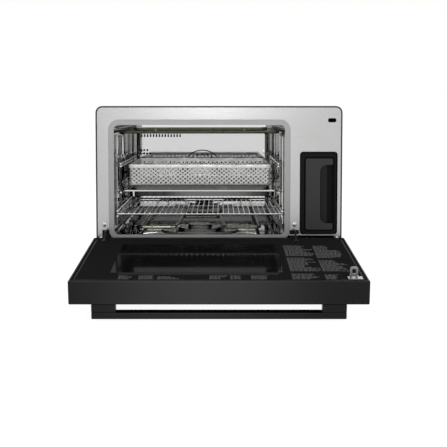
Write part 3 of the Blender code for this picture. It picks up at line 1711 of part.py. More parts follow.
def hinge_arms(door):
    """Curved arms about the hinge axis, each on a flange against the door's inner face."""
    inner = HINGE_ARC_RADIUS - HINGE_ARM_DEPTH / 2
    outer = HINGE_ARC_RADIUS + HINGE_ARM_DEPTH / 2
    arc = sector(inner, outer, HINGE_ARM_TAIL, HINGE_ARM_HEAD, ROUND_SIDES)
    face = DOOR_INNER + FIT
    root = math.sqrt(HINGE_ARC_RADIUS**2 - face**2)
    for name, across in (("hinge_arm_left", HINGE_LEFT), ("hinge_arm_right", HINGE_RIGHT)):
        half = HINGE_ARM_WIDTH / 2
        arm = piece(name, prism(arc, "X", across - half, across + half), door, DARK_STEEL)
        cut(
            arm,
            box(
                (across - HINGE_ARM_WIDTH, -HINGE_ARC_RADIUS, 0),
                (across + HINGE_ARM_WIDTH, face + HINGE_FLANGE_THICKNESS / 2, 2 * HINGE_ARC_RADIUS),
            ),
        )
        half = HINGE_FLANGE_WIDTH / 2
        join(
            arm,
            box(
                (across - half, face, root - HINGE_FLANGE_HEIGHT / 2),
                (across + half, face + HINGE_FLANGE_THICKNESS, root + HINGE_FLANGE_HEIGHT / 2),
            ),
        )


# Controls


def button_places():
    first = CONTROLS_X - BUTTON_PITCH * (BUTTON_COUNT - 1) / 2
    return [(first + step * BUTTON_PITCH, BUTTON_RISE) for step in range(BUTTON_COUNT)]


def controls(door):
    """Display, knob and buttons through the outer glass, and the board behind them."""
    outside = DOOR_OUTER + GLASS_SINK
    inside = outside + GLASS_THICKNESS
    half, rise = DISPLAY_WIDTH / 2, DISPLAY_HEIGHT / 2
    piece(
        "display",
        box(
            (CONTROLS_X - half, outside, DISPLAY_RISE - rise),
            (CONTROLS_X + half, outside + DISPLAY_THICKNESS, DISPLAY_RISE + rise),
        ),
        door,
        DARK_PLASTIC,
    )
    flange = inside + FIT + BUTTON_FLANGE_THICKNESS
    cap = BUTTON_RADIUS
    for step, (across, up) in enumerate(button_places()):
        holder = empty(f"button_axis_{step + 1}", door, (across, outside, up))
        profile = (
            (cap + BUTTON_FLANGE, flange - outside),
            (cap + BUTTON_FLANGE, inside + FIT - outside),
            (cap, inside + FIT - outside),
            (cap, EDGE - BUTTON_PROUD),
            (cap - EDGE, -BUTTON_PROUD),
        )
        piece(f"button_{step + 1}", turned(profile, "Y", 0, 0), holder, SATIN_STEEL)
    board_front = flange + BUTTON_TRAVEL + FIT
    shaft_end = board_front - FIT - outside
    holder = empty("knob_axis", door, (CONTROLS_X, outside, KNOB_RISE))
    profile = (
        (KNOB_SHAFT_RADIUS, shaft_end),
        (KNOB_SHAFT_RADIUS, -FIT - GLASS_SINK),
        (KNOB_RADIUS + KNOB_SKIRT, -FIT - GLASS_SINK),
        (KNOB_RADIUS + KNOB_SKIRT, -FIT - GLASS_SINK - KNOB_SKIRT),
        (KNOB_RADIUS, -FIT - GLASS_SINK - 2 * KNOB_SKIRT),
        (KNOB_RADIUS - EDGE, EDGE - KNOB_DEPTH),
        (KNOB_RADIUS - 2 * EDGE, -KNOB_DEPTH),
    )
    piece("control_knob", turned(profile, "Y", 0, 0, 36), holder, SATIN_STEEL)
    side = DISPLAY_WIDTH / 2
    low = BUTTON_RISE - BUTTON_RADIUS - BOARD_MARGIN
    high = DISPLAY_RISE + DISPLAY_HEIGHT / 2
    board = piece(
        "control_board",
        box(
            (CONTROLS_X - side, board_front, low),
            (CONTROLS_X + side, board_front + BOARD_THICKNESS, high),
        ),
        door,
        BOARD_GREEN,
    )
    post = POST_HALF
    posts = []
    for across in (CONTROLS_X - side + post, CONTROLS_X + side - post):
        for up in (low + post, (KNOB_RISE + DISPLAY_RISE) / 2):
            posts.append(
                box(
                    (across - post, inside + FIT, up - post),
                    (across + post, board_front + BOARD_THICKNESS / 2, up + post),
                )
            )
    join(board, together(*posts))


def main():
    for old in list(bpy.data.objects):
        bpy.data.objects.remove(old, do_unlink=True)
    cabinet = empty("cabinet", None, (0, FRONT_PLANE, 0))
    outer_casing(cabinet)
    base_and_feet(cabinet)
    front_frame(cabinet)
    frame_screws(cabinet)
    door_bumpers(cabinet)
    plinth_panel(cabinet)
    cavity_trim(cabinet)
    door_interlock(cabinet)
    hinge_housings(cabinet)
    rear_panel(cabinet)
    power_inlet(cabinet)
    cavity_liner(cabinet)
    fan_cover(cabinet)
    fan(cabinet)
    fan_motor(cabinet)
    upper_heat(cabinet)
    lower_heat(cabinet)
    side_rack(cabinet, "side_rack_left", CAVITY_LEFT, 1)
    side_rack(cabinet, "side_rack_right", CAVITY_RIGHT, -1)
    shelf(cabinet, "lower_shelf", LOWER_SHELF_Z, LOWER_SHELF_OFFSET)
    baking_tray(cabinet)
    steam_pan(cabinet)
    tank_housing(cabinet)
    water_tank(cabinet)
    drip_tray(cabinet)
    steam_works(cabinet)
    power_board(cabinet)
    door = empty("door_axis", cabinet, (0, -HINGE_REACH, HINGE_Z))
    door.rotation_euler.x = DOOR_OPEN_ANGLE
    door_frame(door)
    door_panels(door)
    handle(door)
    latch_striker(door)
    hinge_arms(door)
    controls(door)


main()
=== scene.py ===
"""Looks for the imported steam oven: finishes, fine pieces, a pale floor and soft light."""

import json
import math
import random

import bmesh
import bpy
from mathutils import Matrix, Vector

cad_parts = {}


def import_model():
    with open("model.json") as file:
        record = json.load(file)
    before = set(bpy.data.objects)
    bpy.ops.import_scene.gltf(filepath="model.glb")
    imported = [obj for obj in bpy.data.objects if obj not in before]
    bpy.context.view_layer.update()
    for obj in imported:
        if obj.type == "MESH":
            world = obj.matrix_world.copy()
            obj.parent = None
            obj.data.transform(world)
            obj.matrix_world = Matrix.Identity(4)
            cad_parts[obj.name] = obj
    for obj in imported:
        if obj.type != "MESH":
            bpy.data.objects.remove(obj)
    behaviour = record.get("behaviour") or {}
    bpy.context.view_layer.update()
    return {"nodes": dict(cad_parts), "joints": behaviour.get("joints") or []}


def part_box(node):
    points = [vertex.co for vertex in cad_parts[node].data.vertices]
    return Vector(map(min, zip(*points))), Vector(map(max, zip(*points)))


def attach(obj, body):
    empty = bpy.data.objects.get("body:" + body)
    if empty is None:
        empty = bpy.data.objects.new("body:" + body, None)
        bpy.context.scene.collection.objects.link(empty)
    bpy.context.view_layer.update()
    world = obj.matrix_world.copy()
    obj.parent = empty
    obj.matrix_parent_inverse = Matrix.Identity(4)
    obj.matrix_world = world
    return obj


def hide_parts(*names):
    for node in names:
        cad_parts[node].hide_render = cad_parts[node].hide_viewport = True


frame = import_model()
NODES = frame["nodes"]

# The photograph's camera
PHOTO_SIDE = 447
FOCAL_PIXELS = 777.78
SENSOR = 36.0
CAMERA_PLACE = (0.0, -1.73826, 0.3774)
CAMERA_PITCH = math.radians(3)
CENTRE_PIXELS = (219.0, 153.94)
CAMERA_NEAR = 0.05
CAMERA_FAR = 50

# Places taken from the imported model
FRONT_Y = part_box("front_frame")[0].y
CAVITY_X = (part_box("cavity_liner")[0].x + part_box("cavity_liner")[1].x) / 2
HINGE = next(joint for joint in frame["joints"] if joint["name"] == "door_hinge")

# The door as it stands at rest, and its window: left, low, right and high, from the hinge
DOOR_OPEN = math.radians(96)
DOOR = Matrix.Translation(HINGE["pos_m"]) @ Matrix.Rotation(DOOR_OPEN, 4, "X")
WINDOW = (-0.203, 0.0485, 0.120, 0.245)


def add_object(name, data):
    made = bpy.data.objects.new(name, data)
    bpy.context.scene.collection.objects.link(made)
    return made


def camera():
    data = bpy.data.cameras.new("camera")
    data.sensor_width = SENSOR
    data.lens = SENSOR * FOCAL_PIXELS / PHOTO_SIDE
    middle = PHOTO_SIDE / 2
    data.shift_x = (middle - CENTRE_PIXELS[0]) / PHOTO_SIDE
    data.shift_y = (CENTRE_PIXELS[1] - middle) / PHOTO_SIDE
    data.clip_start = CAMERA_NEAR
    data.clip_end = CAMERA_FAR
    holder = add_object("camera", data)
    holder.location = CAMERA_PLACE
    holder.rotation_euler = (math.pi / 2 - CAMERA_PITCH, 0, 0)
    bpy.context.scene.camera = holder


# Node materials

# Where the values of a noise mostly lie, and the whole range of a signal
NOISE_SPAN = (0.3, 0.7)
WHOLE_SPAN = (0, 1)


class Finish:
    """A Principled material whose colour, roughness and bump are wired in as steps."""

    def __init__(self, name, colour, roughness, metallic):
        self.material = bpy.data.materials.new(name)
        self.material.use_nodes = True
        self.tree = self.material.node_tree
        self.shader = self.tree.nodes["Principled BSDF"]
        self.colour = colour
        self.set("Base Color", (*colour, 1))
        self.set("Roughness", roughness)
        self.set("Metallic", metallic)
        self.coordinates = None

    def set(self, socket, value):
        self.shader.inputs[socket].default_value = value
        return self

    def node(self, kind, **values):
        made = self.tree.nodes.new(kind)
        for name, value in values.items():
            setattr(made, name, value)
        return made

    def link(self, source, target):
        self.tree.links.new(source, target)

    def place(self, scale=(1, 1, 1)):
        """The object's own coordinates, scaled along each axis."""
        if self.coordinates is None:
            self.coordinates = self.node("ShaderNodeTexCoord").outputs["Object"]
        mapping = self.node("ShaderNodeMapping")
        mapping.inputs["Scale"].default_value = scale
        self.link(self.coordinates, mapping.inputs["Vector"])
        return mapping.outputs["Vector"]

    def noise(self, scale, stretch=(1, 1, 1), detail=3.0, rough=0.55):
        made = self.node("ShaderNodeTexNoise")
        made.inputs["Scale"].default_value = scale
        made.inputs["Detail"].default_value = detail
        made.inputs["Roughness"].default_value = rough
        self.link(self.place(stretch), made.inputs["Vector"])
        return made.outputs["Fac"]

    def spread(self, value, low, high, span=NOISE_SPAN, interpolation="LINEAR"):
        """Maps a signal's span to the range from low to high."""
        made = self.node("ShaderNodeMapRange", interpolation_type=interpolation)
        for socket, number in zip(("From Min", "From Max", "To Min", "To Max"), (*span, low, high)):
            made.inputs[socket].default_value = number
        self.link(value, made.inputs["Value"])
        return made.outputs["Result"]

    def fade(self, axis, centre, reach):
        """1 at a place along one axis, and less and less on both sides of it."""
        split = self.node("ShaderNodeSeparateXYZ")
        self.link(self.place(), split.inputs["Vector"])
        offset = self.node("ShaderNodeMath", operation="SUBTRACT")
        offset.inputs[1].default_value = centre
        self.link(split.outputs[axis], offset.inputs[0])
        size = self.node("ShaderNodeMath", operation="ABSOLUTE")
        self.link(offset.outputs[0], size.inputs[0])
        return self.spread(size.outputs[0], 1.0, 0.0, (0.0, reach), "SMOOTHSTEP")

    def vary_colour(self, value, dark, light, span=NOISE_SPAN):
        """The base colour times a signal that runs from dark to light."""
        scaled = self.node("ShaderNodeVectorMath", operation="SCALE")
        socket = self.shader.inputs["Base Color"]
        if socket.is_linked:
            self.link(socket.links[0].from_socket, scaled.inputs[0])
        else:
            scaled.inputs[0].default_value = self.colour
        self.link(self.spread(value, dark, light, span), scaled.inputs["Scale"])
        self.link(scaled.outputs[0], socket)

    def vary_roughness(self, value, low, high):
        self.link(self.spread(value, low, high), self.shader.inputs["Roughness"])

    def bump(self, value, distance, strength=1.0):
        made = self.node("ShaderNodeBump")
        made.inputs["Distance"].default_value = distance
        made.inputs["Strength"].default_value = strength
        self.link(value, made.inputs["Height"])
        self.link(made.outputs["Normal"], self.shader.inputs["Normal"])


# Brushed lines: their scale and stretch, and their tone, gloss and depth at a grain of 1
BRUSH_SCALE = 900.0
BRUSH_STRETCH = 0.012
BRUSH_TONE = 0.10
BRUSH_GLOSS = 0.5
BRUSH_DEPTH = 0.00004


def brushed(name, colour, roughness, along, grain=0.35):
    """Steel with fine lines along one axis and faint cloudy handling marks."""
    stretch = [1.0, 1.0, 1.0]
    stretch["XYZ".index(along)] = BRUSH_STRETCH
    made = Finish(name, colour, roughness, metallic=1.0)
    lines = made.noise(BRUSH_SCALE, stretch, detail=2.0)
    clouds = made.noise(scale=9.0, detail=4.0)
    tone, gloss = BRUSH_TONE * grain, BRUSH_GLOSS * grain
    made.vary_colour(lines, dark=1 - tone, light=1 + tone)
    made.vary_colour(clouds, dark=0.97, light=1.03)
    made.vary_roughness(lines, roughness * (1 - gloss), roughness * (1 + gloss))
    made.bump(lines, BRUSH_DEPTH * grain)
    return made


def polished(name, colour, roughness, stains=0.06, wave=0.10):
    """Bright rolled steel, a little wavy, with faint water marks."""
    made = Finish(name, colour, roughness, metallic=1.0)
    waves = made.noise(scale=18.0, detail=2.0)
    marks = made.noise(scale=70.0, detail=6.0, rough=0.7)
    made.vary_colour(marks, dark=1 - stains, light=1 + stains * 0.5)
    made.vary_roughness(marks, roughness * 0.7, roughness * 1.5)
    made.bump(waves, distance=0.0004, strength=wave)
    return made


def moulded(name, colour, roughness, grain=0.00006):
    """Plastic or glass, with a fine spark grain of some depth."""
    made = Finish(name, colour, roughness, metallic=0.0)
    pits = made.noise(scale=1400.0, detail=2.0)
    clouds = made.noise(scale=14.0, detail=3.0)
    made.vary_colour(clouds, dark=0.94, light=1.06)
    made.vary_roughness(clouds, roughness * 0.9, roughness * 1.12)
    made.bump(pits, grain)
    return made


def painted(name, colour, roughness=0.42, metallic=0.3):
    """Baked powder paint with a faint orange peel."""
    made = Finish(name, colour, roughness, metallic)
    peel = made.noise(scale=700.0, detail=1.0)
    clouds = made.noise(scale=8.0, detail=3.0)
    made.vary_colour(clouds, dark=0.93, light=1.07)
    made.vary_roughness(peel, roughness * 0.88, roughness * 1.12)
    made.bump(peel, distance=0.00005)
    return made


def dull(finish, level):
    """A darker sheen, for blacks that stay black under a white sky."""
    return finish.set("Specular IOR Level", level)


def flat(name, colour, roughness, level=0.0):
    """Plastic, glass or ink without grain and with little sheen."""
    return dull(moulded(name, colour, roughness, grain=0.0), level)


# Where along the width the painted sheen of the front frame, the door frame and the handle is lightest
PAINTED_SHEEN_CENTRE = -0.034
# The front frame's colour is painted darker away from its top centre, a painted highlight
FRAME_TOP = 0.393
FRAME_HIGHLIGHT_REACH = 0.32
# The liner's colour is painted lighter at its top and darker toward its floor, as painted light and shade
LINER_TOP = 0.335
LINER_SHADE_REACH = 0.225


def satin(name, colour, ends, reach):
    """Black satin lacquer whose colour is painted lighter toward the middle of the width, a painted sheen."""
    made = dull(painted(name, colour, roughness=0.36, metallic=0.0), 0.12)
    # Painted sheen: the colour is lighter toward the middle of the width
    made.vary_colour(made.fade("X", PAINTED_SHEEN_CENTRE, reach), ends, 1, WHOLE_SPAN)
    return made


def dress(finish, *names):
    for name in names:
        NODES[name].material_slots[0].material = finish.material


def steel_finishes():
    front = brushed("front_steel", (0.520, 0.520, 0.517), roughness=0.27, along="X", grain=0.03)
    # Painted highlight: the front's colour is lighter toward its top centre
    front.vary_colour(front.fade("X", PAINTED_SHEEN_CENTRE, FRAME_HIGHLIGHT_REACH), 0.90, 1.0, WHOLE_SPAN)
    front.vary_colour(front.fade("Z", FRAME_TOP, FRAME_HIGHLIGHT_REACH), 0.91, 1.0, WHOLE_SPAN)
    dress(front, "front_frame")
    dress(brushed("trim_steel", (0.285, 0.285, 0.285), roughness=0.42, along="X", grain=0.2), "cavity_trim")
    liner = polished("liner_steel", (0.27, 0.27, 0.267), roughness=0.05, stains=0.10, wave=0.05)
    # Painted light and shade: the liner is lighter at its top and darker toward its floor
    liner.vary_colour(liner.fade("Z", LINER_TOP, LINER_SHADE_REACH), 0.62, 1.25, WHOLE_SPAN)
    dress(liner, "cavity_liner")
    plate = polished("plate_steel", (0.61, 0.61, 0.607), roughness=0.05, stains=0.02, wave=0.02)
    dress(plate, "fan_cover")
    dress(polished("reflector_steel", (0.62, 0.62, 0.615), roughness=0.12, stains=0.02), "upper_reflector")
    dress(polished("wire_steel", (0.64, 0.64, 0.635), roughness=0.14), "lower_shelf")
    rack = polished("rack_steel", (0.60, 0.60, 0.595), roughness=0.20)
    dress(rack, "side_rack_left", "side_rack_right")
    dress(polished("tray_steel", (0.55, 0.55, 0.545), roughness=0.10), "baking_tray")
    dress(polished("cover_steel", (0.13, 0.13, 0.125), roughness=0.20), "evaporator_cover")
    dress(polished("element_steel", (0.22, 0.22, 0.17), roughness=0.26, stains=0.25), "lower_element")
    dress(polished("grill_steel", (0.24, 0.24, 0.17), roughness=0.30, stains=0.25), "upper_element")
    dress(brushed("satin_steel", (0.62, 0.62, 0.61), roughness=0.28, along="Z"), "steam_generator")
    knob = brushed("knob_steel", (0.40, 0.40, 0.398), roughness=0.30, along="X")
    dress(knob, "control_knob", "button_1", "button_2", "button_3")
    dress(brushed("striker_steel", (0.22, 0.22, 0.22), roughness=0.40, along="Z"), "latch_striker")
    screw = polished("screw_steel", (0.38, 0.38, 0.377), roughness=0.30)
    dress(screw, "frame_screw_left", "frame_screw_right")


def paint_finishes():
    dress(dull(painted("case_paint", (0.030, 0.030, 0.032)), 0.3), "outer_casing", "plinth_panel")
    galvanised = painted("galvanised", (0.40, 0.41, 0.42), roughness=0.40, metallic=1.0)
    dress(galvanised, "base_pan", "rear_panel", "door_baffle")
    motor = painted("motor_steel", (0.09, 0.09, 0.09), roughness=0.40, metallic=1.0)
    dress(motor, "fan_motor", "water_pump", "fan_shaft", "fan_wheel")
    hinge = dull(painted("hinge_steel", (0.010, 0.010, 0.011), roughness=0.4, metallic=0.0), 0.1)
    dress(hinge, "hinge_arm_left", "hinge_arm_right", "hinge_housing_left", "hinge_housing_right")
    dress(satin("door_frame_painted_sheen", (0.037, 0.037, 0.038), ends=0.20, reach=0.27), "door_frame")
    handle = satin("handle_painted_sheen", (0.022, 0.022, 0.023), ends=0.32, reach=0.25)
    dress(handle, "handle_bar", "handle_post_left", "handle_post_right")


def plastic_finishes():
    nylon = moulded("white_nylon", (0.72, 0.72, 0.70), roughness=0.42)
    dress(nylon, "door_bumper_left", "door_bumper_right")
    black = dull(moulded("black_plastic", (0.0045, 0.0045, 0.005), roughness=0.42), 0.08)
    dress(black, "tank_housing", "tank_front", "drip_tray", "power_inlet", "door_interlock")
    panel = dull(moulded("panel_plastic", (0.024, 0.024, 0.025), roughness=0.40), 0.22)
    dress(panel, "tank_lid", "display")
    dress(flat("window_glass", (0.0045, 0.0045, 0.005), roughness=0.07, level=0.03), "inner_glass")
    dress(flat("outer_black_glass", (0.007, 0.007, 0.0075), roughness=0.08, level=0.22), "outer_glass")
    dress(moulded("clear_pane", (0.02, 0.02, 0.02), roughness=0.05, grain=0.0), "middle_pane")
    rubber = moulded("foot_rubber", (0.015, 0.015, 0.015), roughness=0.8)
    dress(rubber, "foot_front_left", "foot_front_right", "foot_rear_left", "foot_rear_right")
    hose = moulded("hose_silicone", (0.60, 0.60, 0.58), roughness=0.55)
    dress(hose, "water_hose", "feed_hose", "steam_pipe")
    dress(moulded("board_green", (0.03, 0.12, 0.06), roughness=0.55), "power_board", "control_board")
    tank = moulded("tank_clear", (0.62, 0.65, 0.67), roughness=0.12)
    dress(tank.set("Transmission Weight", 0.75), "water_tank")


# Shared ways to make a piece

BOX_SIDES = ((0, 1, 3, 2), (4, 6, 7, 5), (0, 4, 5, 1), (2, 3, 7, 6), (0, 2, 6, 4), (1, 5, 7, 3))
# A disc's flat crown, as a share of its radius
CROWN_SHARE = 0.6
# How deep a plate, a screw or a hook is bedded in what carries it
BED = 0.0002


def show(name, bm, finish, body, node=None, place=None, smooth=35):
    """Makes a piece of a mesh, rides it on a body and, if asked, lets it stand for a node."""
    bmesh.ops.recalc_face_normals(bm, faces=bm.faces)
    mesh = bpy.data.meshes.new(name)
    bm.to_mesh(mesh)
    bm.free()
    mesh.shade_smooth()
    mesh.set_sharp_from_angle(angle=math.radians(smooth))
    mesh.materials.append(finish.material)
    made = add_object(name, mesh)
    if place:
        made.matrix_world = place
    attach(made, body)
    if node:
        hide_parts(node)
    return made


def door_box(node):
    """A door node's box with the door closed, measured from the hinge."""
    inverse = DOOR.inverted()
    points = [inverse @ vertex.co for vertex in NODES[node].data.vertices]
    low = Vector([min(p[i] for p in points) for i in range(3)])
    high = Vector([max(p[i] for p in points) for i in range(3)])
    return low, high


def bridge(bm, near, far):
    for k in range(len(near)):
        j = (k + 1) % len(near)
        bm.faces.new((near[k], near[j], far[j], far[k]))


def skin(bm, rings):
    """Joins a row of rings into one skin and shuts both ends."""
    bm.faces.new(rings[0])
    bm.faces.new(rings[-1][::-1])
    for near, far in zip(rings, rings[1:]):
        bridge(bm, near, far)


def circle(centre, across, up, radius, sides):
    """Points round a circle, from across toward up."""
    angles = [math.tau * n / sides for n in range(sides)]
    return [centre + radius * (math.cos(angle) * across + math.sin(angle) * up) for angle in angles]


def add_box(bm, low, high):
    xs, ys, zs = zip(low, high)
    corners = [bm.verts.new((x, y, z)) for x in xs for y in ys for z in zs]
    for side in BOX_SIDES:
        bm.faces.new([corners[k] for k in side])


def add_disc(bm, centre, normal, radius, height, sides=12, dome=0.0):
    """A round button of some height on a surface, with its crown raised by dome."""
    normal = Vector(normal).normalized()
    across = normal.orthogonal().normalized()
    up = normal.cross(across)
    rings = []
    for out, rise in ((1.0, 0.0), (1.0, height), (CROWN_SHARE, height + dome)):
        points = circle(Vector(centre) + normal * rise, across, up, radius * out, sides)
        rings.append([bm.verts.new(point) for point in points])
    skin(bm, rings)


def slab(bm, outline, near, far):
    """A thin plate across the depth, from an outline of x and z."""
    skin(bm, [[bm.verts.new((x, y, z)) for x, z in outline] for y in (near, far)])


def round_outline(left, low, right, high, radius, steps=6):
    """A rectangle's outline with rounded corners, from its upper right corner anticlockwise."""
    points = []
    for x, z, quarter in (
        (right - radius, high - radius, 0),
        (left + radius, high - radius, 1),
        (left + radius, low + radius, 2),
        (right - radius, low + radius, 3),
    ):
        for step in range(steps + 1):
            angle = math.pi / 2 * (quarter + step / steps)
            points.append((x + radius * math.cos(angle), z + radius * math.sin(angle)))
    return points


# The perforated steam pan

PAN_WALL = 0.0009
PAN_CORNER = 0.0047
PAN_RIM = 0.0034
PAN_LIP = 0.0082
PAN_FOOT = 0.0240
# The rim's rounded edge: inset and drop of each step
RIM_BEND = ((0.0012, 0.0), (0.0003, 0.0005), (0.0, 0.0014))
# The foot's inset and drop, as shares of its size
FOOT_CURVE = ((0.02, 0.03), (0.12, 0.15), (0.28, 0.35), (0.46, 0.56), (0.66, 0.76), (0.86, 0.92), (1.0, 1.0))
# How far the floor laps the foot, and its faces' heights over the base, in wall thicknesses
FLOOR_LAP = 0.004
FLOOR_FACES = (1.9, 1.05)
HOLE_ROWS = 8
HOLE_ROW = 0.00429
HOLE_COLUMN = 0.005425
HOLE_RADIUS = 0.0025
HOLE_SIDES = 8
FLOOR_HOLE = 0.0075
CORNER_CELLS = 2


def perforate(bm, sheets, holed, wrap=False):
    """Joins two facing grids of points through round holes, which replace some of the odd points."""
    rows, columns = len(sheets[0]), len(sheets[0][0])
    made = [{}, {}]
    for layer, grid in enumerate(sheets):
        for j in range(rows):
            for k in range(columns):
                if not holed(k, j):
                    made[layer][k, j] = bm.verts.new(grid[j][k])
    for layer in (0, 1):
        for j in range(rows - 1):
            for k in range(columns if wrap else columns - 1):
                for a, b in ((k, j), (k + 1, j), (k, j + 1), (k + 1, j + 1)):
                    if (a + b) % 2 == 0 or holed(a % columns, b):
                        continue
                    beside = ((2 * k + 1 - a) % columns, b)
                    above = (a % columns, 2 * j + 1 - b)
                    bm.faces.new([made[layer][point] for point in ((a % columns, b), beside, above)])
    for j in range(1, rows - 1):
        for k in range(columns):
            if holed(k, j):
                pierce(bm, sheets, made, k, j)
    return made


def pierce(bm, sheets, made, k, j):
    """One round hole at a point of both grids, between its four neighbours."""
    columns = len(sheets[0][0])
    after, before = (k + 1) % columns, (k - 1) % columns
    # A neighbour's column and row, and the hole's points beside it and toward the diagonal
    quarters = ((after, j - 1, 0, 1), (before, j - 1, 4, 3), (before, j + 1, 4, 5), (after, j + 1, 0, 7))
    rims = []
    for layer, grid in enumerate(sheets):
        centre = grid[j][k]
        across = (grid[j][after] - grid[j][before]).normalized()
        up = grid[j - 1][k] - grid[j + 1][k]
        up = (up - across * up.dot(across)).normalized()
        rim = [bm.verts.new(point) for point in circle(centre, across, up, HOLE_RADIUS, HOLE_SIDES)]
        rims.append(rim)
        for column, row, level, slanted in quarters:
            beside, above = made[layer][column, j], made[layer][k, row]
            near, diagonal, far = rim[level], rim[slanted], rim[2 if row < j else 6]
            bm.faces.new((beside, near, diagonal))
            bm.faces.new((beside, diagonal, above))
            bm.faces.new((above, diagonal, far))
    bridge(bm, *rims)


def pan_outline(low, high, inset, radius, counts, z):
    """Points round a rounded rectangle, anticlockwise, with even steps along its sides."""
    left, front, right, rear = low.x + inset, low.y + inset, high.x - inset, high.y - inset
    across, along = counts
    sides = (
        ((left + radius, front + radius), 1.0, (left + radius, front), (right - radius, front), across),
        ((right - radius, front + radius), 1.5, (right, front + radius), (right, rear - radius), along),
        ((right - radius, rear - radius), 0.0, (right - radius, rear), (left + radius, rear), across),
        ((left + radius, rear - radius), 0.5, (left, rear - radius), (left, front + radius), along),
    )
    points = []
    for (x, y), start, begin, end, count in sides:
        for step in range(1, CORNER_CELLS):
            angle = math.pi * (start + 0.5 * step / CORNER_CELLS)
            points.append(Vector((x + radius * math.cos(angle), y + radius * math.sin(angle), z)))
        for step in range(count + 1):
            points.append(Vector((*begin, z)).lerp(Vector((*end, z)), step / count))
    return points


def pan_walls(bm, low, high):
    """Perforated walls with a rim folded over their top and a foot turned in under them."""
    flat_part = 2 * (PAN_RIM + PAN_CORNER)
    counts = [2 * round((high[i] - low[i] - flat_part) / HOLE_COLUMN / 2) for i in (0, 1)]
    on_side = []
    for count in counts * 2:
        on_side += [False] * (CORNER_CELLS - 1) + [True] * (count + 1)
    foot_top = low.z + PAN_FOOT
    levels = [foot_top + (HOLE_ROWS + 1 - row) * HOLE_ROW for row in range(HOLE_ROWS + 2)]
    insets = (PAN_RIM, PAN_RIM + PAN_WALL)
    corners = (PAN_CORNER, PAN_CORNER - PAN_WALL)
    sheets = [
        [pan_outline(low, high, inset, radius, counts, z) for z in levels]
        for inset, radius in zip(insets, corners)
    ]

    def holed(k, j):
        return 1 <= j <= HOLE_ROWS and on_side[k] and (k + j) % 2 == 1

    def follow(ring, inset, radius, z):
        """Goes on from a ring to the next one."""
        following = [bm.verts.new(point) for point in pan_outline(low, high, inset, radius, counts, z)]
        bridge(bm, ring, following)
        return following

    made = perforate(bm, sheets, holed, wrap=True)
    top_rows, low_rows = (
        [[made[layer][k, row] for k in range(len(on_side))] for layer in (0, 1)] for row in (0, HOLE_ROWS + 1)
    )
    # The rim: over the wall's top, down its folded lip and back up inside it
    outer = PAN_CORNER + PAN_RIM
    rim = [(PAN_RIM + PAN_WALL, PAN_CORNER - PAN_WALL, high.z)]
    rim += [(inset, outer - inset, high.z - drop) for inset, drop in RIM_BEND]
    rim += [
        (0.0, outer, high.z - PAN_LIP),
        (PAN_WALL, outer - PAN_WALL, high.z - PAN_LIP),
        (PAN_WALL, outer - PAN_WALL, high.z - PAN_WALL),
        (PAN_RIM, PAN_CORNER, high.z - PAN_WALL),
    ]
    ring = top_rows[1]
    for inset, radius, z in rim:
        ring = follow(ring, inset, radius, z)
    bridge(bm, ring, top_rows[0])
    # The foot turns in under the walls
    ends = []
    for layer, ring in enumerate(low_rows):
        turn = PAN_FOOT - PAN_WALL * layer
        for inward, down in FOOT_CURVE:
            ring = follow(ring, insets[layer] + turn * inward, corners[layer], foot_top - turn * down)
        ends.append(ring)
    bridge(bm, *ends)


def pan_floor(bm, low, high):
    """The perforated floor, which laps the foot."""
    edge = PAN_RIM + PAN_FOOT - FLOOR_LAP
    left, front, right, rear = low.x + edge, low.y + edge, high.x - edge, high.y - edge
    across = 2 * round((right - left) / FLOOR_HOLE / 2)
    along = 2 * round((rear - front) / FLOOR_HOLE / 2)
    xs = [left + (right - left) * k / across for k in range(across + 1)]
    ys = [front + (rear - front) * j / along for j in range(along + 1)]
    heights = [low.z + share * PAN_WALL for share in FLOOR_FACES]
    sheets = [[[Vector((x, y, z)) for x in xs] for y in ys] for z in heights]

    def holed(k, j):
        return 1 < k < across - 1 and 1 < j < along - 1 and (k + j) % 2 == 1

    made = perforate(bm, sheets, holed)
    loop = [(k, 0) for k in range(across)] + [(across, j) for j in range(along)]
    loop += [(k, along) for k in range(across, 0, -1)] + [(0, j) for j in range(along, 0, -1)]
    bridge(bm, [made[0][point] for point in loop], [made[1][point] for point in loop])


def steam_pan():
    low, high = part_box("steam_pan")
    bm = bmesh.new()
    pan_walls(bm, low, high)
    pan_floor(bm, low, high)
    finish = polished("pan_steel", (0.41, 0.41, 0.405), roughness=0.36, stains=0.04)
    pan = show("perforated_pan", bm, finish, "pan", node="steam_pan", smooth=40)
    # The pan's inside is its own steel painted lighter, as painted light
    inner = polished("pan_inside_painted_light", (0.82, 0.82, 0.815), roughness=0.50, stains=0.04)
    pan.data.materials.append(inner.material)
    # The faces below the rim that look into the pan have the brighter finish, painted light on the pan's own
    # steel
    mid_wall = PAN_RIM + PAN_WALL * 0.7
    for face in pan.data.polygons:
        centre = pan.matrix_world @ face.center
        inset = min(centre.x - low.x, high.x - centre.x, centre.y - low.y, high.y - centre.y)
        inward = face.normal.dot(centre - (low + high) / 2) < 0
        if inset > mid_wall and centre.z < high.z - PAN_WALL and inward:
            face.material_index = 1


# Print on the door's inner glass

PRINT_HEIGHT = 0.00004
PRINT_SEED = 11
LINE_PITCH = 0.0056
LINE_HEIGHT = 0.0021
LINE_OVERRUN = 0.002
WORD_LENGTHS = (0.003, 0.009)
WORD_GAP = 0.0016
# A line's length as a share of its block: where it starts, the least and the change at each line
START_SHARES = (0.6, 1.0)
LEAST_SHARE = 0.5
SHARE_CHANGE = 0.35
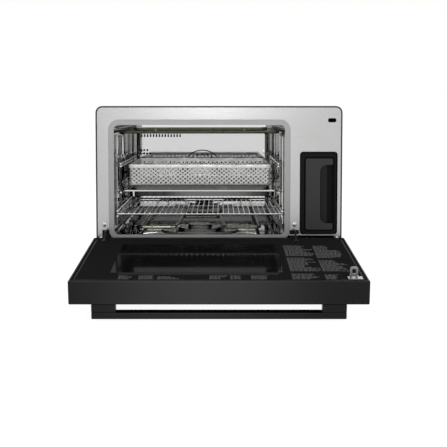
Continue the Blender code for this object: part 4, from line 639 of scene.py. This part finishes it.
# Each block's left, width, low and high, from the hinge
TEXT_BLOCKS = (
    (-0.184, 0.031, 0.258, 0.294),
    (-0.147, 0.027, 0.258, 0.294),
    (-0.1125, 0.048, 0.262, 0.294),
    (-0.0175, 0.031, 0.258, 0.294),
    (0.0208, 0.030, 0.258, 0.294),
    (0.0586, 0.029, 0.258, 0.294),
    (0.134, 0.056, 0.054, 0.136),
    (0.134, 0.056, 0.145, 0.236),
    (0.134, 0.048, 0.248, 0.294),
    (0.195, 0.050, 0.058, 0.150),
    (0.195, 0.056, 0.160, 0.236),
    (0.195, 0.038, 0.252, 0.294),
)
# A plain band just past the window: left, low, right and high
PRINT_BAND = (-0.188, 0.2455, 0.110, 0.2575)
# The enamel border's inset from the glass's edge
BORDER_INSET = 0.0012
# The rim's inset from the door's edge, and its gap to the glass
RIM_INSET = 0.003
RIM_GAP = 0.0005


def text_block(bm, draw, left, width, low, high, face):
    """Rows of plain bars, as long as words, that stand for printed lines."""
    share = draw.uniform(*START_SHARES)
    for row in range(int((high - low) / LINE_PITCH)):
        level = high - row * LINE_PITCH
        share = min(1.0, max(LEAST_SHARE, share + draw.uniform(-SHARE_CHANGE, SHARE_CHANGE)))
        start = left
        limit = left + width * share
        while start < limit:
            word = draw.uniform(*WORD_LENGTHS)
            end = min(start + word, limit + LINE_OVERRUN)
            add_box(bm, (start, face, level - LINE_HEIGHT), (end, face + PRINT_HEIGHT, level))
            start += word + WORD_GAP


def inset_box(low, high, inset):
    """Left, low, right and high of a box, drawn in all round."""
    return low.x + inset, low.z + inset, high.x - inset, high.z - inset


def ring_plate(bm, outer, inner, near, far):
    """A flat rectangular ring in the closed door's plane: each outline is left, low, right, high."""
    loops = []
    for left, low, right, high in (outer, inner):
        corners = ((left, low), (right, low), (right, high), (left, high))
        loops += [[bm.verts.new((x, y, z)) for x, z in corners] for y in (near, far)]
    outer_near, outer_far, inner_near, inner_far = loops
    bridge(bm, outer_near, inner_near)
    bridge(bm, outer_far, inner_far)
    bridge(bm, outer_near, outer_far)
    bridge(bm, inner_near, inner_far)


def door_print():
    low, high = door_box("inner_glass")
    face = high.y
    enamel = flat("enamel_print", (0.0115, 0.0115, 0.012), roughness=0.6)
    bm = bmesh.new()
    border = inset_box(low, high, BORDER_INSET)
    ring_plate(bm, border, WINDOW, face + PRINT_HEIGHT / 2, face + PRINT_HEIGHT)
    show("enamel_border", bm, enamel, "door", place=DOOR)
    frame_low, frame_high = door_box("door_frame")
    bm = bmesh.new()
    rim, glass = inset_box(frame_low, frame_high, RIM_INSET), inset_box(low, high, -RIM_GAP)
    ring_plate(bm, rim, glass, frame_high.y - BED, frame_high.y + PRINT_HEIGHT)
    show("door_rim", bm, enamel, "door", place=DOOR)
    face += PRINT_HEIGHT
    draw = random.Random(PRINT_SEED)
    bm = bmesh.new()
    for block in TEXT_BLOCKS:
        text_block(bm, draw, *block, face)
    ink = flat("print_ink", (0.150, 0.150, 0.152), roughness=0.6)
    show("door_print", bm, ink, "door", place=DOOR)
    bm = bmesh.new()
    left, bottom, right, top = PRINT_BAND
    add_box(bm, (left, face, bottom), (right, face + PRINT_HEIGHT, top))
    band = flat("print_band", (0.028, 0.028, 0.029), roughness=0.45)
    show("window_print_band", bm, band, "door", place=DOOR)


# Small things in the cavity

# The thickness of the liner's sheet
LINER_SHEET = 0.001

# The drip ribs: their ends, from the cavity's middle and the front, and their half width and
# height at shares of their length
RIB_ENDS = ((0.1251, 0.0137), (0.0736, 0.0475))
RIB_SECTIONS = ((0.0, 0.0008, 0.0006), (0.04, 0.0013, 0.0012), (0.5, 0.0011, 0.0010), (1.0, 0.0005, 0.0003))
RIB_STEPS = 8
RIB_BED = 0.0001

# The dark discs that stand for holes, painted shade in place of openings
DOT_RADIUS = 0.0026
DOT_HEIGHT = 0.0003
DOT_BED = 0.0001
# How far the fan cover's boss stands out from its plate
BOSS_PROUD = 0.0025
# The row under the element: count, pitch, drop from the cover's top and inset from its left
VENT_COUNT = 14
VENT_PITCH = 0.0076
VENT_DROP = 0.0093
VENT_INSET = 0.0137
# The two rows lower down: height, count and inset of each
LOW_VENTS = ((0.2823, 3, 0.0125), (0.2738, 4, 0.0120))
LOW_VENT_PITCH = 0.0077
LOW_VENT_RADIUS = 0.0028
# The one hole in each side wall
WALL_DOT_BACK = 0.071
WALL_DOT_UP = 0.319
WALL_DOT_HEIGHT = 0.0005

# The reflector's lip: its section, as depth and height from its upper front corner, and its place
LIP_SECTION = (
    (0.0, 0.0),
    (0.0, -0.0040),
    (0.0008, -0.0050),
    (0.0020, -0.0054),
    (0.0020, -0.0046),
    (0.0012, -0.0040),
    (0.0008, -0.0006),
    (0.0060, -0.0004),
    (0.0060, 0.0),
)
LIP_PROUD = 0.0009
LIP_DROP = 0.0004
LIP_START = 0.0110
LIP_OVERRUN = 0.0060
LIP_END_OVERRUN = 0.0010

# The hook on the left wall, and the eye at its end
HOOK_OUT = 0.0061
HOOK_BACK = 0.104
HOOK_TOP = 0.3275
HOOK_LOW = 0.2822
HOOK_RADIUS = 0.0021
HOOK_BEND = 0.0030
HOOK_BEND_ANGLES = (0, 0.5, 1.0, 1.57)
EYE_DROP = 0.0042
EYE_RADIUS = 0.0036
EYE_WIRE = 0.0012


def floor_ribs():
    """Two pressed ribs that lead drips to the evaporator."""
    floor_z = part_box("cavity_liner")[0].z + LINER_SHEET
    # The ribs are of the liner's sheet; their much lighter steel is a painted highlight
    finish = polished("rib_painted_highlight", (0.86, 0.86, 0.855), roughness=0.12, stains=0.02)
    for name, side in (("floor_rib_left", -1), ("floor_rib_right", 1)):
        start, end = (Vector((CAVITY_X + side * x, FRONT_Y + y, floor_z)) for x, y in RIB_ENDS)
        across = (end - start).normalized().cross(Vector((0, 0, 1)))
        bm = bmesh.new()
        rings = []
        for share, wide, tall in RIB_SECTIONS:
            centre = start.lerp(end, share)
            ring = []
            for k in range(RIB_STEPS + 1):
                angle = math.pi * k / RIB_STEPS
                rise = Vector((0, 0, tall * math.sin(angle) - RIB_BED))
                ring.append(bm.verts.new(centre + across * wide * math.cos(angle) + rise))
            rings.append(ring)
        skin(bm, rings)
        show(name, bm, finish, "cabinet")


def vent_dots():
    """Dark discs of painted shade that stand for small holes in the fan cover and in the side walls."""
    dark = flat("hole_painted_shade", (0.004, 0.004, 0.004), roughness=0.8, level=0.1)
    low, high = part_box("fan_cover")
    plate = low.y + BOSS_PROUD + DOT_BED
    bm = bmesh.new()
    for z, count, inset in LOW_VENTS:
        for k in range(count):
            x = low.x + inset + LOW_VENT_PITCH * k
            add_disc(bm, (x, plate, z), (0, -1, 0), LOW_VENT_RADIUS, DOT_HEIGHT)
    for k in range(VENT_COUNT):
        x = low.x + VENT_INSET + VENT_PITCH * k
        add_disc(bm, (x, plate, high.z - VENT_DROP), (0, -1, 0), DOT_RADIUS, DOT_HEIGHT)
    show("cover_dots", bm, dark, "cabinet")
    bm = bmesh.new()
    low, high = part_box("cavity_liner")
    wall = LINER_SHEET - BED
    for x, side in ((low.x + wall, 1), (high.x - wall, -1)):
        place = (x, FRONT_Y + WALL_DOT_BACK, WALL_DOT_UP)
        add_disc(bm, place, (side, 0, 0), DOT_RADIUS, WALL_DOT_HEIGHT)
    show("wall_dots", bm, dark, "cabinet")


def reflector_lip():
    """The folded front edge of the reflector, painted lighter as a highlight, and its left end, painted
    darker as shade.
    """
    low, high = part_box("upper_reflector")
    section = [(low.y - LIP_PROUD + y, high.z - LIP_DROP + z) for y, z in LIP_SECTION]
    # The lip's lighter steel is a painted highlight and the end's darker steel painted shade, both on the
    # reflector's own sheet
    lip = polished("lip_painted_highlight", (0.84, 0.84, 0.835), roughness=0.12, stains=0.02)
    end = polished("lip_end_painted_shade", (0.34, 0.34, 0.335), roughness=0.25, stains=0.05)
    for name, left, right, finish in (
        ("reflector_lip", low.x + LIP_START, high.x + LIP_OVERRUN, lip),
        ("reflector_end", low.x - LIP_END_OVERRUN, low.x + LIP_START, end),
    ):
        bm = bmesh.new()
        skin(bm, [[bm.verts.new((x, y, z)) for y, z in section] for x in (left, right)])
        show(name, bm, finish, "cabinet")


def rod(bm, points, radius, sides=10, closed=False):
    """A round bar along points at one depth, its ends shut unless it closes on itself."""
    rings = []
    count = len(points)
    for k, point in enumerate(points):
        before = points[k - 1] if closed or k else point
        after = points[(k + 1) % count] if closed or k < count - 1 else point
        along = (after - before).normalized()
        side = along.cross(Vector((0, 1, 0)))
        ring = circle(point, side, along.cross(side), radius, sides)
        rings.append([bm.verts.new(place) for place in ring])
    if closed:
        for near, far in zip(rings, rings[1:] + rings[:1]):
            bridge(bm, near, far)
    else:
        skin(bm, rings)


def probe_hook():
    """The rod with an eye that hangs on the left wall."""
    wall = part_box("cavity_liner")[0].x + LINER_SHEET - BED
    x, y = wall + HOOK_OUT, FRONT_Y + HOOK_BACK
    bm = bmesh.new()
    line = [Vector((x, y, HOOK_LOW))]
    for angle in HOOK_BEND_ANGLES:
        inward, rise = HOOK_BEND * (1 - math.cos(angle)), HOOK_BEND * math.sin(angle)
        line.append(Vector((x - inward, y, HOOK_TOP - HOOK_BEND + rise)))
    rod(bm, line + [Vector((wall, y, HOOK_TOP))], HOOK_RADIUS)
    eye = Vector((x, y, HOOK_LOW - EYE_DROP))
    loop = circle(eye, Vector((1, 0, 0)), Vector((0, 0, 1)), EYE_RADIUS, sides=16)
    rod(bm, loop, EYE_WIRE, sides=8, closed=True)
    finish = polished("hook_steel", (0.86, 0.86, 0.855), roughness=0.16, stains=0.02)
    show("probe_hook", bm, finish, "cabinet")


# The tank's front and the painted shade on the handle

# The panel's margins in the tank's front
PANEL_LEFT = 0.0122
PANEL_RIGHT = 0.0087
PANEL_LOW = 0.0101
PANEL_TOP = 0.0139
PANEL_RADIUS = 0.0038
PANEL_PROUD = 0.00025
# The grip that is cut into the panel's right side, and the width of its deep part
GRIP_WIDTH = 0.0273
GRIP_HALF = 0.06435
GRIP_RADIUS = 0.0150
GRIP_HOLD = 0.0120
GRIP_DEPTH = 0.0045
GRIP_GAP = 0.0003
GRIP_PROUD = 0.0003
# A length past the panel's side, so that the grip's right corners are cut off
GRIP_OVERRUN = 0.02

# The black strip of painted shade on the handle: its end gaps, margin, corner radius and half thickness
SHADE_STRIP_END_GAP = 0.0004
SHADE_STRIP_MARGIN = 0.0006
SHADE_STRIP_RADIUS = 0.0012
SHADE_STRIP_HALF = 0.0003


def tank_panel():
    """The tank front's lighter panel, round its grip, and the grip's shallow part, painted darker as shade in
    its recess.
    """
    low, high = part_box("tank_front")
    left, right = low.x + PANEL_LEFT, high.x - PANEL_RIGHT
    bottom, top = low.z + PANEL_LOW, high.z - PANEL_TOP
    middle = (bottom + top) / 2
    panel = round_outline(left, bottom, right, top, PANEL_RADIUS)
    grip_box = (right - GRIP_WIDTH, middle - GRIP_HALF, right + GRIP_OVERRUN, middle + GRIP_HALF)
    grip = round_outline(*grip_box, GRIP_RADIUS)
    notch = grip[len(grip) // 4 : 3 * len(grip) // 4]
    above, below = notch[0][1], notch[-1][1]
    bm = bmesh.new()
    notched = panel + [(right, below)] + notch[::-1] + [(right, above)]
    slab(bm, notched, low.y - PANEL_PROUD, low.y + BED)
    finish = dull(moulded("tank_panel", (0.026, 0.026, 0.027), roughness=0.40), 0.22)
    show("tank_panel", bm, finish, "tank")
    bm = bmesh.new()
    hold = right - GRIP_HOLD - GRIP_GAP
    floor_y = low.y + GRIP_DEPTH
    slab(bm, [(hold, above)] + notch + [(hold, below)], floor_y - GRIP_PROUD, floor_y + BED)
    # The grip's darker colour is painted shade in its recess
    finish = dull(moulded("grip_painted_shade", (0.010, 0.010, 0.0105), roughness=0.40), 0.12)
    show("tank_grip", bm, finish, "tank")


def handle_shade_strip():
    """A black strip of painted shade along the side of the bar that faces the door, where the door shades it.
    """
    low, high = door_box("handle_bar")
    left = door_box("handle_post_left")[1].x + SHADE_STRIP_END_GAP
    right = door_box("handle_post_right")[0].x - SHADE_STRIP_END_GAP
    bm = bmesh.new()
    outline = round_outline(left, low.z + SHADE_STRIP_MARGIN, right, high.z - SHADE_STRIP_MARGIN, SHADE_STRIP_RADIUS, steps=3)
    slab(bm, outline, high.y - SHADE_STRIP_HALF, high.y + SHADE_STRIP_HALF)
    # Painted shade: a black, sheenless strip where the door shades the bar
    finish = dull(moulded("handle_painted_shade", (0.0012, 0.0012, 0.0013), roughness=0.8), 0.0)
    show("handle_shade_strip", bm, finish, "door", place=DOOR)


# The door's outer face

DIGITS = "12:30"
SEGMENTS = {"0": "abcdef", "1": "bc", "2": "abdeg", "3": "abcdg"}
DIGIT_HEIGHT = 0.0130
DIGIT_WIDTH = 0.0065
DIGIT_STROKE = 0.0011
DIGIT_GAP = 0.0035
COLON_RISE = 0.0028
# The gap at a segment's ends, as a share of the stroke
SEGMENT_GAP = 1.15
WINDOW_RADIUS = 0.012

# Ticks round the knob, from its edge
TICKS_PER_SIDE = 5
TICK_STEP = math.radians(27)
TICK_START = 0.0035
TICK_END = 0.0060
LONG_TICK_END = 0.0075
TICK_HALF = 0.0004
# Bars over the buttons
MARK_RISE = 0.0050
MARK_PITCH = 0.0016
MARK_HEIGHT = 0.0007
MARK_HALF = 0.0035
# The knob's pointer, with its ends as shares of the knob's radius
POINTER_HALF = 0.0008
POINTER_ENDS = (0.45, 0.86)
POINTER_PROUD = 0.0002
POINTER_BED = 0.0003


def on_face(bm, outline, face):
    """A printed shape just in front of an outer face of the closed door."""
    slab(bm, outline, face - PRINT_HEIGHT, face - PRINT_HEIGHT / 4)


def bar(bm, left, low, right, high, face):
    on_face(bm, ((left, low), (right, low), (right, high), (left, high)), face)


def clock_digits():
    """A plain time in seven-segment figures."""
    low, high = door_box("display")
    middle_x, middle_z = (low.x + high.x) / 2, (low.z + high.z) / 2
    bottom, top = middle_z - DIGIT_HEIGHT / 2, middle_z + DIGIT_HEIGHT / 2
    stroke = DIGIT_STROKE
    gap = stroke * SEGMENT_GAP
    widths = [stroke if mark == ":" else DIGIT_WIDTH for mark in DIGITS]
    x = middle_x - (sum(widths) + DIGIT_GAP * (len(DIGITS) - 1)) / 2
    bm = bmesh.new()
    for mark, width in zip(DIGITS, widths):
        if mark == ":":
            for z in (middle_z - COLON_RISE, middle_z + COLON_RISE):
                bar(bm, x, z - stroke / 2, x + stroke, z + stroke / 2, low.y)
        right = x + width
        places = {
            "a": (x + gap, top - stroke, right - gap, top),
            "g": (x + gap, middle_z - stroke / 2, right - gap, middle_z + stroke / 2),
            "d": (x + gap, bottom, right - gap, bottom + stroke),
            "f": (x, middle_z + gap / 2, x + stroke, top - gap),
            "b": (right - stroke, middle_z + gap / 2, right, top - gap),
            "e": (x, bottom + gap, x + stroke, middle_z - gap / 2),
            "c": (right - stroke, bottom + gap, right, middle_z - gap / 2),
        }
        for segment in SEGMENTS.get(mark, ""):
            bar(bm, *places[segment], low.y)
        x = right + DIGIT_GAP
    lit = moulded("lit_digits", (0.75, 0.80, 0.85), roughness=0.5, grain=0.0)
    lit.set("Emission Color", (0.75, 0.85, 1.0, 1)).set("Emission Strength", 0.5)
    show("clock_digits", bm, lit, "door", place=DOOR)


def control_marks():
    """Ticks round the knob, bars over each button and the pointer on the knob."""
    face = door_box("outer_glass")[0].y
    knob_low, knob_high = door_box("control_knob")
    x, z = (knob_low.x + knob_high.x) / 2, (knob_low.z + knob_high.z) / 2
    radius = (knob_high.x - knob_low.x) / 2
    bm = bmesh.new()
    for step in range(-TICKS_PER_SIDE, TICKS_PER_SIDE + 1):
        sine, cosine = math.sin(TICK_STEP * step), math.cos(TICK_STEP * step)
        inner = radius + TICK_START
        outer = radius + (TICK_END if step % TICKS_PER_SIDE else LONG_TICK_END)
        corners = ((inner, -TICK_HALF), (inner, TICK_HALF), (outer, TICK_HALF), (outer, -TICK_HALF))
        outline = [(x + sine * out + cosine * side, z + cosine * out - sine * side) for out, side in corners]
        on_face(bm, outline, face)
    for number in (1, 2, 3):
        low, high = door_box(f"button_{number}")
        middle = (low.x + high.x) / 2
        for row in range(number):
            base = high.z + MARK_RISE + MARK_PITCH * row
            bar(bm, middle - MARK_HALF, base, middle + MARK_HALF, base + MARK_HEIGHT, face)
    ink = flat("outer_ink", (0.42, 0.42, 0.42), roughness=0.6, level=0.1)
    show("control_marks", bm, ink, "door", place=DOOR)
    bm = bmesh.new()
    near, far = knob_low.y - POINTER_PROUD, knob_low.y + POINTER_BED
    inner, outer = (z + radius * share for share in POINTER_ENDS)
    add_box(bm, (x - POINTER_HALF, near, inner), (x + POINTER_HALF, far, outer))
    black = flat("pointer_black", (0.01, 0.01, 0.01), roughness=0.5, level=0.2)
    show("knob_pointer", bm, black, "knob", place=DOOR)


def outer_window():
    """The darker part of the outer glass, over the window."""
    face = door_box("outer_glass")[0].y
    bm = bmesh.new()
    on_face(bm, round_outline(*WINDOW, WINDOW_RADIUS), face)
    tint = flat("outer_window", (0.0015, 0.0015, 0.0018), roughness=0.04, level=0.10)
    show("outer_window", bm, tint, "door", place=DOOR)


# Fixings at the rear and sides

SCREW_RADIUS = 0.0036
SCREW_HEIGHT = 0.0013
SCREW_DOME = 0.0006
# The rear screws' margin and, as shares of the panel, their places along its rows and up its sides
REAR_MARGIN = 0.0085
REAR_ACROSS = (0.02, 0.34, 0.66, 0.98)
REAR_UP = (0.36, 0.68)
CASE_SCREW_INSET = 0.030
CASE_SCREW_RISE = 0.014

# The rating plate: its place from the rear panel's lower corner, its size, and the bars on it
PLATE_PLACE = (0.075, 0.030)
PLATE_SIZE = (0.078, 0.044)
PLATE_RADIUS = 0.003
PLATE_DEPTHS = (-0.0001, 0.0004)
INK_DEPTHS = (0.0003, 0.00045)
INK_SEED = 5
INK_ROWS = 7
INK_TOP = 0.0065
INK_PITCH = 0.0052
INK_HALF = 0.0009
INK_MARGIN = 0.005
INK_LAST_START = 0.012
INK_LENGTHS = (0.004, 0.014)
INK_GAP = 0.0018
INK_STOP_CHANCE = 0.12

# The mains inlet's blades: their places round its middle, half width and height, and end gaps
PINS = ((-0.0065, -0.0018), (0.0, 0.0022), (0.0065, -0.0018))
PIN_HALF_WIDTH = 0.0010
PIN_HALF_HEIGHT = 0.0022
PIN_INNER_GAP = 0.0080
PIN_OUTER_GAP = 0.0030


def add_screw(bm, place, normal):
    """A plain domed head."""
    add_disc(bm, place, normal, SCREW_RADIUS, SCREW_HEIGHT, sides=16, dome=SCREW_DOME)


def screws():
    low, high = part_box("rear_panel")
    width, height = high.x - low.x, high.z - low.z
    bm = bmesh.new()
    for share in REAR_ACROSS:
        for z in (low.z + REAR_MARGIN, high.z - REAR_MARGIN):
            add_screw(bm, (low.x + width * share, high.y - BED, z), (0, 1, 0))
    for share in REAR_UP:
        for x in (low.x + REAR_MARGIN, high.x - REAR_MARGIN):
            add_screw(bm, (x, high.y - BED, low.z + height * share), (0, 1, 0))
    finish = polished("rear_screw_steel", (0.42, 0.42, 0.415), roughness=0.28)
    show("rear_screws", bm, finish, "cabinet")
    low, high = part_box("outer_casing")
    bm = bmesh.new()
    for x, side in ((low.x + BED, -1), (high.x - BED, 1)):
        for y in (low.y + CASE_SCREW_INSET, high.y - CASE_SCREW_INSET):
            add_screw(bm, (x, y, low.z + CASE_SCREW_RISE), (side, 0, 0))
    black = painted("black_screw", (0.02, 0.02, 0.02), roughness=0.4, metallic=1.0)
    show("side_screws", bm, black, "cabinet")


def rating_plate():
    """A foil plate at the rear with neutral bars in place of print."""
    low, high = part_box("rear_panel")
    left, bottom = low.x + PLATE_PLACE[0], low.z + PLATE_PLACE[1]
    right, top = left + PLATE_SIZE[0], bottom + PLATE_SIZE[1]
    bm = bmesh.new()
    outline = round_outline(left, bottom, right, top, PLATE_RADIUS)
    slab(bm, outline, *(high.y + depth for depth in PLATE_DEPTHS))
    foil = brushed("plate_foil", (0.62, 0.62, 0.62), roughness=0.34, along="X")
    show("rating_plate", bm, foil, "cabinet")
    near, far = (high.y + depth for depth in INK_DEPTHS)
    draw = random.Random(INK_SEED)
    bm = bmesh.new()
    for row in range(INK_ROWS):
        z = top - INK_TOP - INK_PITCH * row
        start = right - INK_MARGIN
        while start > left + INK_LAST_START:
            end = max(start - draw.uniform(*INK_LENGTHS), left + INK_MARGIN)
            add_box(bm, (end, near, z - INK_HALF), (start, far, z + INK_HALF))
            start = end - INK_GAP
            if draw.random() < INK_STOP_CHANCE:
                break
    ink = flat("plate_ink", (0.03, 0.03, 0.03), roughness=0.6, level=0.1)
    show("rating_bars", bm, ink, "cabinet")


def inlet_pins():
    """The three blades in the mains inlet."""
    low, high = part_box("power_inlet")
    bm = bmesh.new()
    for across, up in PINS:
        x, z = (low.x + high.x) / 2 + across, (low.z + high.z) / 2 + up
        add_box(
            bm,
            (x - PIN_HALF_WIDTH, low.y + PIN_INNER_GAP, z - PIN_HALF_HEIGHT),
            (x + PIN_HALF_WIDTH, high.y - PIN_OUTER_GAP, z + PIN_HALF_HEIGHT),
        )
    finish = polished("pin_steel", (0.70, 0.68, 0.62), roughness=0.18)
    show("inlet_pins", bm, finish, "cabinet")


# Floor, world and lamps

FLOOR_HALF = 14.0
FLOOR_TONE = 0.90
# The floor's glow, and the share of it that the background's rays see
FLOOR_GLOW = 1.18
GLOW_SHARE = 0.80
# The sky's strength as a light and as a background
SKY_LIGHT = 0.55
SKY_SEEN = 1.0
MIDDLE = (0, 0, 0.2)
# Each lamp's name, place, target, size, watts and whether it lights dull surfaces
LAMPS = (
    ("key", (-1.2, -1.7, 1.9), MIDDLE, (1.2, 1.2), 26, True),
    ("fill", (1.5, -1.2, 1.3), MIDDLE, (1.2, 1.2), 14, True),
    ("back", (0.2, 1.9, 1.7), MIDDLE, (1.6, 1.0), 18, True),
    ("strip", (-0.04, -2.3, 1.05), (-0.04, 0, 0.3), (0.40, 1.0), 7.5, False),
)


def background_rays(tree):
    """1 for the rays that show the background: those of the camera, of gloss and of glass."""
    path = tree.nodes.new("ShaderNodeLightPath")
    total = path.outputs["Is Camera Ray"]
    for name in ("Is Glossy Ray", "Is Transmission Ray"):
        add = tree.nodes.new("ShaderNodeMath")
        add.operation = "ADD"
        add.use_clamp = True
        tree.links.new(total, add.inputs[0])
        tree.links.new(path.outputs[name], add.inputs[1])
        total = add.outputs[0]
    return total


def floor():
    """A pale floor that keeps its shadows and fades into the white background."""
    mesh = bpy.data.meshes.new("floor")
    side = FLOOR_HALF
    corners = ((-side, -side, 0), (side, -side, 0), (side, side, 0), (-side, side, 0))
    mesh.from_pydata(corners, [], [(0, 1, 2, 3)])
    ground = add_object("floor", mesh)
    material = bpy.data.materials.new("floor")
    material.use_nodes = True
    tree = material.node_tree
    shader = tree.nodes["Principled BSDF"]
    shader.inputs["Base Color"].default_value = (FLOOR_TONE, FLOOR_TONE, FLOOR_TONE, 1)
    shader.inputs["Roughness"].default_value = 0.9
    shader.inputs["Specular IOR Level"].default_value = 0.1
    glow = tree.nodes.new("ShaderNodeEmission")
    glow.inputs["Strength"].default_value = FLOOR_GLOW
    share = tree.nodes.new("ShaderNodeMath")
    share.operation = "MULTIPLY"
    share.inputs[1].default_value = GLOW_SHARE
    mix = tree.nodes.new("ShaderNodeMixShader")
    tree.links.new(background_rays(tree), share.inputs[0])
    tree.links.new(share.outputs[0], mix.inputs["Fac"])
    tree.links.new(shader.outputs[0], mix.inputs[1])
    tree.links.new(glow.outputs[0], mix.inputs[2])
    tree.links.new(mix.outputs[0], tree.nodes["Material Output"].inputs["Surface"])
    mesh.materials.append(material)


def world():
    made = bpy.data.worlds.new("studio")
    bpy.context.scene.world = made
    made.use_nodes = True
    tree = made.node_tree
    background = tree.nodes["Background"]
    background.inputs["Color"].default_value = (1, 1, 1, 1)
    strength = tree.nodes.new("ShaderNodeMapRange")
    strength.inputs["To Min"].default_value = SKY_LIGHT
    strength.inputs["To Max"].default_value = SKY_SEEN
    tree.links.new(background_rays(tree), strength.inputs["Value"])
    tree.links.new(strength.outputs["Result"], background.inputs["Strength"])


def lamp(name, place, target, size, watts, diffuse):
    data = bpy.data.lights.new(name, "AREA")
    data.shape = "RECTANGLE"
    data.size, data.size_y = size
    data.energy = watts
    holder = add_object(name, data)
    holder.location = place
    holder.visible_camera = False
    holder.visible_diffuse = diffuse
    direction = Vector(target) - Vector(place)
    holder.rotation_euler = direction.to_track_quat("-Z", "Y").to_euler()


def main():
    bpy.context.scene.view_settings.view_transform = "Standard"
    camera()
    floor()
    world()
    for values in LAMPS:
        lamp(*values)
    steel_finishes()
    paint_finishes()
    plastic_finishes()
    steam_pan()
    door_print()
    floor_ribs()
    vent_dots()
    reflector_lip()
    tank_panel()
    handle_shade_strip()
    probe_hook()
    outer_window()
    clock_digits()
    control_marks()
    screws()
    rating_plate()
    inlet_pins()


main()
